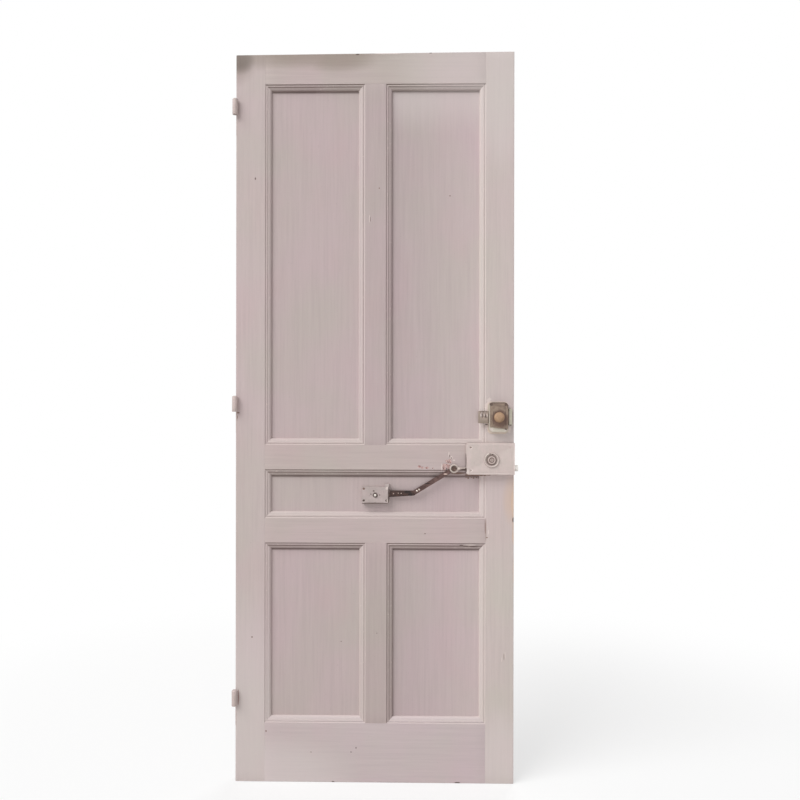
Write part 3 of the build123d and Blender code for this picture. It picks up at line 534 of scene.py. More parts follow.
def board(low, high, along, radii, end_arris=joint_arris, recesses=()):
    """A board from corner to corner along X or Z, its section rounded and its ends eased.

    The ends are eased by insetting the last rings: at quarter turn t the ring lies
    r (1 - sin t) from the end and r (1 - cos t) inside the section. Recesses are spans of Z
    where the left edge steps in for a hinge, from the room side to 5 mm short of the back. For
    them the section has two points more at the recess's back line, one of which steps in, and
    each span has two rings at either end.
    """
    length_axis = {"x": 0, "z": 2}[along]
    cross_axis = 2 - length_axis
    section_low = np.array([low[cross_axis], low[1]])
    section_high = np.array([high[cross_axis], high[1]])
    section, exposed = rounded_section(section_low, section_high, radii)
    back_line = len(section) // 2
    if recesses:
        section = np.insert(section, back_line, [[section_low[0], recess_back]] * 2, axis=0)
        exposed = np.insert(exposed, back_line, [0.0, 0.0])
    start, end = low[length_axis], high[length_axis]
    quarter = np.linspace(0, pi / 2, 4)
    near = end_arris * (1 - np.sin(quarter))
    eased = end_arris * (1 - np.cos(quarter))
    stations = np.linspace(start, end, max(int((end - start) / ring_spacing), 3))[1:-1]
    cuts = np.repeat(np.ravel(recesses), 2)
    places = np.concatenate([start + near[::-1], stations, end - near, cuts])
    inset = np.concatenate([eased[::-1], 0 * stations, eased, 0 * cuts])
    order = np.argsort(places, kind="stable")
    places, inset = places[order], inset[order]
    middle, half = (section_low + section_high) / 2, (section_high - section_low) / 2
    ring = middle + (section - middle) * (1 - inset[:, None, None] / half)
    for bottom, top in recesses:
        first = np.flatnonzero(np.isclose(places, bottom))[-1]
        last = np.flatnonzero(np.isclose(places, top))[0]
        on_edge = ring[first, :, 0] < section_low[0] + outer_arris + 0.1 * MM
        cut_in = on_edge & (ring[first, :, 1] < recess_back + 1e-6)
        cut_in[back_line] = False
        ring[first:last + 1, cut_in, 0] = section_low[0] + recess_depth
    rings = np.zeros((len(places), len(section), 3))
    rings[..., length_axis] = places[:, None]
    rings[..., cross_axis] = ring[..., 0]
    rings[..., 1] = ring[..., 1]
    rings[..., 1] -= np.sign(rings[..., 1]) * waver(rings[..., 0], rings[..., 2], 0.14 * MM)
    return loft(rings, edge=exposed)


def moulding_profile():
    """The moulded edge as (distance from the opening's edge, depth below the face), with its dirt and painted
    shade.

    It runs from the quirk over the bead and the step to the quarter round and the groove. The
    bead is the half circle w + r cos t, d - r sin t; the quarter round is a straight line with
    a sine's bulge across it.
    """
    bead_middle, bead_foot, half_width, rise = 4.9, 3.0, 2.1, 1.8
    bead_turn = np.linspace(pi, 0, 11)[1:-1]
    bead = np.stack([bead_middle + half_width * np.cos(bead_turn), bead_foot - rise * np.sin(bead_turn)], 1)
    near_side, far_side = np.clip(-np.cos(bead_turn), 0, 1), np.clip(np.cos(bead_turn), 0, 1)
    ovolo_start, ovolo_run, outward = (7.8, 2.2), (10.2, 6.6), (0.54, -0.84)
    share = np.linspace(0, 1, 9)
    bulge = 1.9 * np.sin(pi * share)
    ovolo = np.stack([start + run * share + bulge * lean
                      for start, run, lean in zip(ovolo_start, ovolo_run, outward)], 1)
    quirk = [(-0.6, 1.5), (0.0, 1.5), (0.7, 1.9), (1.7, 2.0), (2.5, 2.2)]
    step, groove = [(7.05, 2.8), (7.4, 2.9), (7.75, 2.7)], [(18.0, 11.9), (6.0, 11.9)]
    points = np.concatenate([quirk, bead, step, ovolo, groove])
    # Dirt and painted shade along the profile: heavy in the quirk, on the bead's far side and in the step,
    # lighter over the quarter round and heavy again at its foot.
    dirt_and_shade = np.concatenate([[1.4, 1.4, 1.4, 1.2, 0.8], near_side * 0.2 + far_side * 0.8, [1.5, 1.5, 1.5],
                           0.3 + np.clip(1.2 - 4 * share, 0, 1) + share ** 3, [1, 0]])
    worn = np.concatenate([np.zeros(len(quirk)), np.sin(bead_turn) ** 4, np.zeros(len(step)),
                           0.5 * np.sin(pi * share), np.zeros(len(groove))])
    return points * MM, dirt_and_shade, worn


def moulding(side, left, right, bottom, top, grime_and_shade=None):
    """The moulded edge along one side of an opening, mitred into its neighbours.

    A point at distance u from the opening's edge runs from u to L - u along it, so both ends
    are cut at 45 degrees. Both faces and the panel's groove are one closed section.
    """
    profile, dirt_and_shade, worn = moulding_profile()
    u = np.concatenate([profile[:, 0], profile[::-1, 0]])
    y = np.concatenate([profile[:, 1] - FACE, FACE - profile[::-1, 1]])
    dirt_and_shade, worn = np.concatenate([dirt_and_shade, dirt_and_shade[::-1]]), np.concatenate([worn, worn[::-1]])
    length = (top - bottom) if side in ("left", "right") else (right - left)
    share = np.linspace(0, 1, max(int(length / ring_spacing), 3))
    s = u + share[:, None] * (length - 2 * u)
    across = np.broadcast_to(u, s.shape)
    x, z = {"left": (left + across, bottom + s), "right": (right - across, bottom + s),
            "bottom": (left + s, bottom + across), "top": (left + s, top - across)}[side]
    depth = np.broadcast_to(y, s.shape)
    depth = depth - np.sign(depth) * waver(x, z, 0.2 * MM)
    # The side's share: dirt and painted shade where it is above 0, a painted highlight where it is below 0.
    dirt_and_shade = dirt_and_shade * (shade_and_highlight_by_side[side] if grime_and_shade is None else grime_and_shade)
    return loft(np.stack([x, depth, z], -1), dirt_and_shade, worn)


def with_top_fall(surfaces):
    """Lowers what lies near the top of the leaf so that its top edge falls to the hinges."""
    for points, *_ in surfaces:
        near_top = points[:, 2] > leaf_top - falling_height
        points[near_top, 2] -= top_fall * (leaf_right - points[near_top, 0]) / (leaf_right - leaf_left)
    return surfaces


openings = {
    "lower_left": (opening_left, lower_muntin_sides[0], bottom_rail_top, middle_rail_sides[0]),
    "lower_right": (lower_muntin_sides[1], opening_right, bottom_rail_top, middle_rail_sides[0]),
    "middle": (opening_left, opening_right, middle_rail_sides[1], lock_rail_sides[0]),
    "upper_left": (opening_left, upper_muntin_sides[0], lock_rail_sides[1], top_rail_bottom),
    "upper_right": (upper_muntin_sides[1], opening_right, lock_rail_sides[1], top_rail_bottom),
}
hinge_spans = {name: (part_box(name)[0][2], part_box(name)[1][2])
               for name in ("bottom_hinge", "middle_hinge", "top_hinge")}
arrises_by_outer_side = {"low": (joint_arris, outer_arris, outer_arris, joint_arris),
                         "high": (outer_arris, joint_arris, joint_arris, outer_arris),
                         None: (joint_arris,) * 4}


def timber(node, along, x_span, z_span, outer_side, edges):
    """The surfaces of one timber: its board, and a moulding for each (side, opening, grime_and_shade).

    The side that lies on the leaf's outline has the larger arris.
    """
    low, high = np.array([x_span[0], -FACE, z_span[0]]), np.array([x_span[1], FACE, z_span[1]])
    surfaces = [board(low, high, along, arrises_by_outer_side[outer_side],
                      end_arris=outer_arris if "stile" in node else joint_arris,
                      recesses=list(hinge_spans.values()) if node == "hinge_stile" else ())]
    surfaces += [moulding(side, *openings[place], *grime_and_shade) for side, place, *grime_and_shade in edges]
    return with_top_fall(surfaces)


between_stiles = (opening_left, opening_right)
# An edge's third entry, where given, replaces its side's share of dirt and painted shade.
timbers = {
    "hinge_stile": ("z", (leaf_left, opening_left), (0, leaf_top), "low",
                    [("left", "lower_left", -0.05), ("left", "middle", 0.1), ("left", "upper_left", 0.1)]),
    "lock_stile": ("z", (opening_right, leaf_right), (0, leaf_top), "high",
                   [("right", "lower_right"), ("right", "middle"), ("right", "upper_right")]),
    "bottom_rail": ("x", between_stiles, (0, bottom_rail_top), "low",
                    [("bottom", "lower_left"), ("bottom", "lower_right")]),
    "middle_rail": ("x", between_stiles, middle_rail_sides, None,
                    [("top", "lower_left"), ("top", "lower_right"), ("bottom", "middle")]),
    "lock_rail": ("x", between_stiles, lock_rail_sides, None,
                  [("top", "middle"), ("bottom", "upper_left"), ("bottom", "upper_right")]),
    "top_rail": ("x", between_stiles, (top_rail_bottom, leaf_top), "high",
                 [("top", "upper_left"), ("top", "upper_right")]),
    "lower_muntin": ("z", lower_muntin_sides, (bottom_rail_top, middle_rail_sides[0]), None,
                     [("right", "lower_left"), ("left", "lower_right", 0.6)]),
    "upper_muntin": ("z", upper_muntin_sides, (lock_rail_sides[1], top_rail_bottom), None,
                     [("right", "upper_left"), ("left", "upper_right")]),
}
print("openings:", list(openings))

# %% [markdown]
# The marks are read off the photograph: dots on the bottom rail, knocks on the stiles, the
# cracked joint between the middle rail and the lock stile, the chipped rail beside the eye of
# the draw strap, rusty drips below the rim lock, a bare strip on the edge that the hand rubs,
# painted shade over the upper left corner, soft patches of painted light where the door shows
# paler, and painted shadows under the night bolt, under the eye's rod and beside the draw box.
# Each is x, z, half width and half height in millimetres.

# %% Timber pieces
# The lighter tones of the lock stile and the right panels are painted light on the door's right side, and the
# muntins' darker tones are painted shade beside the mouldings.
stile_tone, far_stile_tone, rail_tone = (195, 181, 179), (200, 188, 184), (191, 177, 174)
left_panel_tone, right_panel_tone, right_panel_painted_shade = (189, 174, 173), (197, 181, 181), 0.155
timber_looks = {
    "hinge_stile": (stile_tone, UPRIGHT, {
        DRIP: [(-352.4, 416.5, 2.4, 2.2), (-394, 1063, 5, 2.2), (-398, 1049, 3, 13)],
        DARK: [(-344.4, 1738, 2, 3.6)],
        # painted shade over the upper left corner, deepest at the corner, and painted light over the stile's
        # foot
        SHADE: [(-408, 2100, 60, 75), (-330, 2112, 110, 50)],
        DEEPER_SHADE: [(-388, 2078, 34, 32)],
        PAINTED_LIGHT: [(-372, 40, 110, 420)],
        SORE: [(-391.6, 243, 1.2, 22)]}),
    "lock_stile": (far_stile_tone, UPRIGHT, {
        WORN: [(399, 815, 26, 62)],
        # painted light over the stile's top and foot, and below the night bolt
        PAINTED_LIGHT: [(366, 1990, 60, 190), (362, 40, 70, 150), (372, 996, 44, 26)],
        BARE: [(396.5, 806, 4.5, 30), (399.5, 770, 3, 26), (399.5, 735, 3, 30), (399, 706, 3.5, 18),
               (400, 850, 3, 34), (400, 610, 2.4, 40)],
        DRIP: [(320.4, 728, 1, 34), (307, 885.5, 6, 3.4), (317, 886, 5, 3.2), (328, 886.4, 8, 2.6),
               (347, 887, 12, 1.6), (323, 706, 3, 1.6), (372.6, 364, 0.9, 10)],
        # the first dark mark is a painted shadow under the night bolt's bar
        DARK: [(321.7, 1030.4, 5, 1.5), (398.4, 757, 2.4, 7)],
        PALE: [(327, 722, 1.8, 7), (375.6, 369.6, 1, 12), (366, 356, 0.9, 8), (327, 1060, 9, 50),
               (386, 1016, 6, 8)]}),
    "bottom_rail": ((197, 183, 184), LEVEL, {
        # painted light over the rail's left end
        PAINTED_LIGHT: [(-316, 0, 210, 105)],
        DARK: [(-118, 0, 4.5, 3.4), (-51.8, 99.1, 1.6, 2.6), (-66.2, 87.4, 2, 1.6), (240, 2, 8, 2)],
        DRIP: [(-311.6, 145.7, 1.8, 3), (-181.5, 86.4, 1.8, 1.6)]}),
    "middle_rail": (rail_tone, LEVEL, {
        DRIP: [(317.8, 738, 0.9, 20)],
        DARK: [(145.9, 716.5, 1.8, 1.5), (250, 683.5, 6, 1.1), (263, 680.8, 8, 1.2),
               (286, 679, 14, 1.1)],
        PALE: [(276, 684.4, 16, 1.3)]}),
    "lock_rail": (rail_tone, LEVEL, {
        PINK: [(129, 909, 5, 3.4), (138, 906, 5, 3.2), (151, 906, 6, 2.8), (168, 905, 2.6, 1.6),
               (201, 908, 6, 10), (212, 911, 6, 8), (214, 924, 9, 6)],
        PALE: [(193.5, 908, 1.6, 11), (214, 945, 1.6, 8), (221, 936, 3, 4.5), (228, 928, 4, 2)],
        SORE: [(131, 908, 3.2, 1.2), (149.5, 906, 1.4, 2.6)],
        DARK: [(167.3, 904.4, 1.2, 1), (198, 905, 1, 5), (207.4, 902.5, 1.2, 3.4), (212, 923, 4, 1),
               (215.7, 940, 1, 4), (221, 934, 1.2, 2.6)],
        # the last drip, long and flat, is a painted shadow under the eye and its rod
        DRIP: [(267, 884.5, 6, 3.6), (279, 884, 9, 4.6), (294, 883.5, 8, 4.8), (308, 884, 7, 4.2),
               (318, 886, 5, 3), (238, 890, 20, 2.6)]}),
    "top_rail": (rail_tone, LEVEL, {
        DARK: [(-50, 2094, 5, 2), (160, 2097, 4, 1.6)],
        PALE: [(35, 2096, 40, 1.5)],
        # painted shade over the rail's left end and painted light over its right end
        SHADE: [(-230, 2108, 230, 46), (-108, 2092, 100, 42)],
        PAINTED_LIGHT: [(322, 2052, 215, 95)]}),
    # the muntins' darker tones are painted shade
    "lower_muntin": ((184, 169, 167), UPRIGHT, {
        DARK: [(8, 430, 1.2, 1.6)]}),
    "upper_muntin": ((186, 171, 170), UPRIGHT, {
        DRIP: [(13, 1709.4, 1.9, 2)],
        PALE: [(-15.2, 1621, 1.2, 11)],
        DARK: [(-12.9, 1620, 0.8, 8)]}),
}
panel_marks = {
    "upper_right": {
        DRIP: [(216.5, 1689.6, 2, 1.8)],
        # painted light over the upper part of the panel
        PAINTED_LIGHT: [(180, 2080, 420, 160)]},
    "lower_left": {
        DARK: [(-96, 402, 1.6, 1.2)]},
    "middle": {
        # a painted shadow to the right of the draw box
        DARK: [(42.6, 829, 1.1, 17)],
        DRIP: [(264, 877.5, 2, 1.6), (270, 876, 3.2, 2.6), (279, 877.5, 1.6, 1.8),
               (285.5, 875.8, 2.8, 2.6), (294, 877, 2.4, 1.6), (299, 876, 1.4, 2.2)]},
}
for node, shape in timbers.items():
    tone, grain, marks = timber_looks[node]
    piece(f"{node}_timber", timber(node, *shape), node, painted_wood(f"paint_{node}", tone, grain, marks))
for place, (left, right, bottom, top) in openings.items():
    inside = (left + moulding_width, right - moulding_width, bottom + moulding_width, top - moulding_width)
    right_side = "right" in place
    repaint(f"{place}_panel", painted_wood(
        f"paint_{place}_panel", right_panel_tone if right_side else left_panel_tone, UPRIGHT,
        panel_marks.get(place, {}), inside, lean=right_panel_painted_shade if right_side else 0.0))
print(len(timbers), "timbers and", len(openings), "panels")

# %% [markdown]
# The ironmongery has five looks. Most of it was painted over with the door, the case and the
# room half of the cylinder among it. The draw straps have lost their paint and are dark brown
# with bright scratches. The night bolt's case is dull bronze with rests of paint. The knobs and
# the street half of the cylinder are worn brass, and what turns or slides inside is bare steel.


# %% Metal looks
def painted_metal(name, tone=(200, 184, 180), marks=(), worn=1.0):
    """Thick paint over iron: softer than on wood, with runs, and rusty where it is knocked off."""
    f = Finish(name)
    x, y, z = f.axes()
    red, green, blue = tone
    clouds = f.noise(38.0, 3.0, 0.6)
    runs = f.noise(1.0, 2.0, 0.5, at=f.stretched(420.0, 420.0, 60.0))
    chips = f.noise(240.0, 3.0, 0.65)
    body = f.mix(clouds.rises(0.3, 0.7), colour(red - 6, green - 4, blue - 5),
                 colour(red + 4, green + 2, blue + 3))
    body = f.mix(runs.rises(0.5, 0.8) * 0.3, body, colour(red - 24, green - 24, blue - 22))
    body = f.mix((f.attribute("dirt_and_shade") * (clouds + 0.3)).clipped() * 0.75, body, colour(96, 74, 68))
    lost = (chips + clouds * 0.35).rises(0.93 - 0.05 * worn, 0.98)
    body = f.mix(lost, body, colour(104, 78, 68))
    relief = clouds * 0.7 + runs * 0.4 - lost
    ragged = (chips - 0.5) * 1.6
    for kind, paint in mark_colours.items():
        if kind in marks:
            found = spots(f, x, z, marks[kind], ragged)
            body = f.mix(found * 0.9, body, paint)
            relief = relief - found * 0.7
    return f.finish(Base_Color=body, Roughness=(clouds * 0.2 + 0.36).clipped(),
                    Normal=f.bump(relief, 0.0004, 0.8), Specular_IOR_Level=0.45)


def rusty_strap(name, low, high, scratches, marks=None):
    """Iron gone brown, between a dark and a lighter tone, with bright scuffs along it."""
    f = Finish(name)
    x, y, z = f.axes()
    patches = f.noise(70.0, 4.0, 0.6)
    grit = f.noise(520.0, 3.0, 0.6)
    along_strap = f.node("ShaderNodeMapping", Vector=f.place, Rotation=(0.0, radians(31), 0.0),
                         Scale=(90.0, 420.0, 900.0))
    scuffs = f.noise(1.0, 2.0, 0.5, at=along_strap)
    body = f.mix(patches.rises(0.35, 0.68), colour(*low), colour(*high))
    body = f.mix(grit.rises(0.5, 0.8) * 0.5, body, colour(122, 84, 62))
    bright = (scuffs + patches * 0.3).rises(0.86, 0.94) * scratches
    body = f.mix(bright, body, colour(206, 190, 180))
    for kind, paint in ((PALE, colour(196, 172, 162)), (DARK, colour(30, 18, 16))):
        for place in (marks or {}).get(kind, ()):
            body = f.mix(spots(f, x, z, [place], (grit - 0.5) * 1.5), body, paint)
    relief = patches * 0.4 + grit * 0.6 - bright * 0.4
    return f.finish(Base_Color=body, Metallic=0.25, Normal=f.bump(relief, 0.0003, 0.8),
                    Roughness=(grit * 0.35 + 0.4 - bright * 0.25).clipped())


def bare_metal(name, tone, dull, rough=0.34, metallic=0.85, grime_and_shade=0.6):
    """Worn metal: a tarnish in soft patches, grime in the hollows and rubbed, brighter arrises."""
    f = Finish(name)
    patches = f.noise(60.0, 4.0, 0.6)
    fine = f.noise(700.0, 2.0, 0.5)
    dirt_and_shade = f.attribute("dirt_and_shade")
    body = f.mix(patches.rises(0.35, 0.7), colour(*tone), colour(*dull))
    body = f.mix(f.attribute("edge") * 0.5, body, colour(*(min(c + 45, 255) for c in tone)))
    body = f.mix((dirt_and_shade * grime_and_shade).clipped(), body, colour(58, 42, 34))
    return f.finish(Base_Color=body, Metallic=(metallic - dirt_and_shade * 0.4).clipped(),
                    Roughness=(patches * 0.25 + fine * 0.1 + rough).clipped(),
                    Normal=f.bump(patches * 0.5 + fine * 0.4, 0.0002, 0.6))


def bright_end_look(axis_x, axis_z):
    """The riveted end of a spindle: bright in the middle, dark around it."""
    f = Finish("spindle_end")
    x, y, z = f.axes()
    from_axis = ((x - axis_x * MM).power(2.0) + (z - axis_z * MM).power(2.0)).power(0.5)
    body = f.mix(from_axis.rises(0.0028, 0.0036), colour(240, 232, 224), colour(64, 46, 40))
    return f.finish(Base_Color=body, Roughness=0.4, Metallic=0.2)


def night_case_look():
    """Dull bronze: a dark rim above, a painted brown shadow round and below the knob, a pale lip of old paint
    below.

    The rim follows the case's outline. How far a point lies past a rectangle with rounded
    corners is |max(q, 0)| + min(max(qx, qz), 0) - r, with q = |p| - half sizes + r.
    """
    case_x, case_z, outline_x = 0.354, 1.052, 0.3557
    half_wide, half_high, corner_radius = 0.027, 0.042, 0.011
    f = Finish("dull_bronze_case")
    x, y, z = f.axes()
    patches = f.noise(75.0, 4.0, 0.6)
    chips = f.noise(330.0, 3.0, 0.6)
    body = f.mix(patches.rises(0.3, 0.7), colour(116, 98, 86), colour(146, 128, 113))
    # painted shadow of the knob, centred a little below and right of it
    dx, dz = (x - 0.3565) / 0.023, (z - 1.0465) / 0.026
    knob_shadow = (dx * dx + dz * dz + (patches - 0.5)).rises(1.3, 0.5)
    body = f.mix(knob_shadow * 0.75, body, colour(92, 62, 50))
    beside = ((x - outline_x).size() - 0.0167).size().rises(0.0024, 0.0008)
    body = f.mix(beside * (z - 1.050).size().rises(0.022, 0.015) * 0.65, body, colour(84, 60, 52))
    qx = (x - case_x).size() - (half_wide - corner_radius)
    qz = (z - case_z).size() - (half_high - corner_radius)
    corner = (qx.most(0.0) * qx.most(0.0) + qz.most(0.0) * qz.most(0.0)).power(0.5)
    past = corner + qx.most(qz).least(0.0) - corner_radius
    rim = past.rises(-0.0036, -0.0018) * z.rises(1.073, 1.084)
    body = f.mix(rim * 0.85, body, colour(78, 58, 50))
    lip = (z + (x - case_x) * 0.12 + (chips - 0.5) * 0.004).rises(1.0225, 1.0180)
    side = (x + (chips - 0.5) * 0.0015).rises(0.3296, 0.3278)
    paint = lip.most(side * 0.9)
    body = f.mix(paint, body, colour(198, 190, 176))
    relief = patches * 0.6 + chips * 0.4 + paint * 0.8
    return f.finish(Base_Color=body, Metallic=(0.3 - paint * 0.3).clipped(),
                    Roughness=patches * 0.2 + 0.42, Normal=f.bump(relief, 0.0004, 0.8))


iron_paint = painted_metal("iron_paint")
steel = bare_metal("worn_steel", (150, 146, 142), (112, 106, 100))
brass = bare_metal("worn_brass", (206, 166, 116), (168, 128, 84), rough=0.3)
print("metal looks are ready")

# %% [markdown]
# Turned pieces are lathed from a profile of places along the axis and radii. Screw heads and
# rivets are small domes: a square grid squeezed onto a disc, so that one row of it can sink
# into a straight slot.


# %% Turned pieces, domes and slotted heads
ON_AXIS = 0.05  # a lathed end's radius in millimetres; the cap closes what is left


def lathe(profile, centre, steps=64, dirt_and_shade=0.0, edge=0.0, ring_shut=False):
    """Turns a profile of (place along Y, radius), in millimetres, about Y through (x, z)."""
    place, radius = (np.asarray(profile, float) * MM).T
    angle = np.linspace(0, tau, steps, endpoint=False)
    x = centre[0] * MM + radius[:, None] * np.cos(angle)
    z = centre[1] * MM + radius[:, None] * np.sin(angle)
    y = np.broadcast_to(place[:, None], x.shape)
    dirt_and_shade, edge = (np.broadcast_to(np.asarray(v, float)[..., None], x.shape) for v in (dirt_and_shade, edge))
    return loft(np.stack([x, y, z], -1), dirt_and_shade, edge, ring_shut)


def dome(centre, front, radius, rise, slot=0.0, slot_turn=0.0, back=0.4, toward="room", cells=17):
    """A low dome with a straight slot, bulging towards the room or the leaf's left edge.

    A grid point (s, t) from -1 to 1 lands on the disc at (s, t sqrt(1 - s s)); its height is
    rise (1 - q q), with q its distance from the middle, less the slot's depth where |s| lies
    inside the slot. The back is the same disc, flat, so the piece is closed.
    """
    walls = np.array([-slot, -slot * 0.98, slot * 0.98, slot]) if slot else np.array([])
    s = np.sort(np.concatenate([np.sin(np.linspace(-pi / 2, pi / 2, cells)), walls]))
    t = np.linspace(-1, 1, cells)
    across = np.broadcast_to(s[:, None], (len(s), cells))
    up = t * np.sqrt(np.clip(1 - s ** 2, 0, 1))[:, None]
    height = rise * (1 - across ** 2 - up ** 2)
    in_slot = np.abs(across) < slot * 0.99
    height = np.where(in_slot, np.minimum(height, 0) - rise * 0.6, height)
    a = radius * (across * cos(slot_turn) - up * sin(slot_turn))
    b = radius * (across * sin(slot_turn) + up * cos(slot_turn))
    flat_back = np.stack([a, b, 0 * height - back], -1)[:, ::-1]
    rings = np.concatenate([np.stack([a, b, height], -1), flat_back], axis=1)
    grime_and_shade = np.where(in_slot, 1.0, 0.35 * (across ** 2 + up ** 2) ** 3)
    sideways, forward = {"room": (0, 1), "edge": (1, 0)}[toward]
    out = np.empty_like(rings)
    out[..., sideways], out[..., 2] = centre[0] + rings[..., 0], centre[1] + rings[..., 1]
    out[..., forward] = front - rings[..., 2]
    return loft(out * MM, np.concatenate([grime_and_shade, 0 * grime_and_shade], axis=1))


screw_head_radius = 3.6


def screw(centre, front, length, slot_turn, toward="room"):
    """A countersunk screw: a slotted, slightly domed head over its cone and shank."""
    rim = screw_head_radius * 0.96
    head = dome(centre, front + 0.5, rim, rise=0.45, slot=0.16, slot_turn=slot_turn, back=0.5, toward=toward)
    shank = [(front + 0.55, ON_AXIS), (front + 0.55, rim), (front + 2.3, 1.8), (front + length - 3, 1.7),
             (front + length, 0.3)]
    if toward == "room":
        return [head, lathe(shank, centre, 20)]
    points, *rest = lathe(shank, (0.0, centre[1]), 20)
    return [head, (np.stack([points[:, 1], points[:, 0] + centre[0] * MM, points[:, 2]], -1), *rest)]


def screws(places, front, length):
    """Screws driven from the room side, given as x, z and the turn of the slot."""
    return [surface for x, z, turn in places for surface in screw((x, z), front, length, turn)]


print("turned pieces: lathe, dome and screw")


# %% [markdown]
# The draw set turns the street knob into the pull of the latch: a thin box holds the crank, a
# dogleg strap leaves it on the right, and a second strap riveted to it climbs to an eye on a
# threaded rod that enters the rim lock.

# %% Draw set
draw_axis = (2.5, 828.0)
box_paint = painted_metal("box_paint", (182, 168, 165), {
    PALE: [(36, 848, 4, 4)],
    # the dark band along the lower edge and the narrow one down the right edge are painted shadows
    DARK: [(-1.5, 839.5, 2.4, 2), (-9.5, 830.5, 2, 1.6), (15.5, 828, 1.8, 1.6), (-31, 845.5, 2, 2),
           (2.5, 802.6, 46, 3.6), (40.7, 826, 1.7, 25), (3, 827.5, 7.4, 7.4)]})
softened("draw_cover", 1.3, box_paint)
softened("draw_base_plate", 0.4, box_paint)
softened("strap_guide", 0.7, box_paint)
draw_screw_places = ((-30, 812, 0.4), (35, 812, 1.3), (-30, 846, 2.2), (35, 846, 0.9))
piece("draw_screw_set", screws(draw_screw_places, -27, 26), "draw_screws",
      painted_metal("dark_screw", (86, 68, 62), {PALE: [(35, 847, 4, 4), (37.5, 812, 2, 4)],
                                                 DRIP: [(-30, 846, 4, 4)]}, worn=0.2))
nut_profile = [(-27.35, ON_AXIS), (-27.35, 5.9), (-28.8, 5.9), (-29.3, 5.3), (-29.5, 4.4), (-29.4, 3.5),
               (-30.2, 3.2), (-30.8, 2.2), (-31.0, 1.0), (-31.0, ON_AXIS)]
piece("spindle_nut_round", [lathe(nut_profile, draw_axis, 40, dirt_and_shade=[1, 1, 1, 1, 1, 1, 0.2, 0, 0, 0])],
      "spindle_nut", bare_metal("nut_steel", (236, 226, 218), (214, 202, 194), rough=0.5, metallic=0.1,
                                grime_and_shade=0.8))
repaint("spindle", bright_end_look(*draw_axis))
softened("lower_strap", 0.5, rusty_strap("dark_strap", (48, 32, 29), (76, 54, 49), 0.6, {
    PALE: [(55.1, 831.9, 1.9, 1.3), (68.9, 833.2, 1.7, 1.2), (77.2, 832.6, 1.9, 1.3)],
    DARK: [(103, 829.5, 7, 4), (95, 837, 10, 4)]}))
softened("upper_strap", 0.5, rusty_strap("brown_strap", (74, 52, 49), (110, 85, 81), 0.9, {
    PALE: [(204, 888.5, 6, 2)], DARK: [(150, 861, 9, 1.4)]}))
strap_start, strap_climb = np.array([112.0, 833.35]), radians(31.4)
rivet_shank = [(-27, ON_AXIS), (-27, 1.5), (-21.1, 1.5), (-21.1, ON_AXIS)]
rivets = []
for reach in (12.4, 19.8):
    centre = tuple(strap_start + reach * np.array([cos(strap_climb), sin(strap_climb)]))
    rivets += [dome(centre, -27.0, 2.6, 1.3, back=0.3), lathe(rivet_shank, centre, 16)]
piece("strap_rivet_heads", rivets, "strap_rivets",
      bare_metal("bright_rivet", (232, 222, 214), (196, 184, 174), rough=0.24, grime_and_shade=0.3))


def eye_and_rod(eye_x, eye_z, y, rod_end):
    """A ring of round section and a rod whose thread is a helix.

    The ring's tube is centre + (R + a cos v) along the radius and b sin v along Y, with the
    cosine's size raised to a power below one, which fills the tube out. The rod's radius is
    r - h |2 frac(x / pitch - angle / turn) - 1|, which winds one turn per pitch.
    """
    ring_radius, tube_wide, tube_deep, fullness = 10.3, 2.7, 3.5, 0.8
    turn, v = np.linspace(0, tau, 56, endpoint=False), np.linspace(0, tau, 20, endpoint=False)
    radius = ring_radius + tube_wide * np.sign(np.cos(v)) * np.abs(np.cos(v)) ** fullness
    ring = np.stack([eye_x + radius * np.cos(turn)[:, None], y + tube_deep * np.sin(v) + 0 * turn[:, None],
                     eye_z + radius * np.sin(turn)[:, None]], -1)
    pitch, rod_radius, thread_depth = 2.0, 4.45, 0.75
    rod_start, thread_start, run_in, step = 10.5, 15.0, 1.5, 0.22
    x = np.arange(eye_x + rod_start, rod_end, step)
    angle = np.linspace(0, tau, 32, endpoint=False)
    saw = np.abs(2 * np.mod(x[:, None] / pitch - angle / tau, 1.0) - 1)
    threaded = np.clip((x - eye_x - thread_start) / run_in, 0, 1)[:, None]
    r = rod_radius - thread_depth * saw * threaded
    rod = np.stack([np.broadcast_to(x[:, None], r.shape), y + r * np.cos(angle), eye_z + r * np.sin(angle)], -1)
    ring_dirt = np.broadcast_to(0.5 * (1 - np.cos(v)), (len(turn), len(v)))
    return [loft(ring * MM, ring_dirt, ring_shut=True), loft(rod * MM, saw * threaded)]


piece("eye_and_threaded_rod", eye_and_rod(228.5, 904.5, -32.0, 308.0), "eye_rod",
      # the first dark mark is painted shade on the underside of the rod
      painted_metal("eye_paint", (208, 194, 186), {DARK: [(272, 902.2, 28, 3.2), (275, 904.5, 16, 5.5)]}),
      smooth=50)
softened("eye_stud", 0.4, rusty_strap("rusty_stud", (70, 50, 44), (112, 92, 82), 0.3))
print("draw set")

# %% [markdown]
# The rim lock is a flat painted case with soft edges. Its cylinder sits in a collar with a
# rolled rim; the rings of collar, cylinder and plug read as one shallow spiral under the paint.

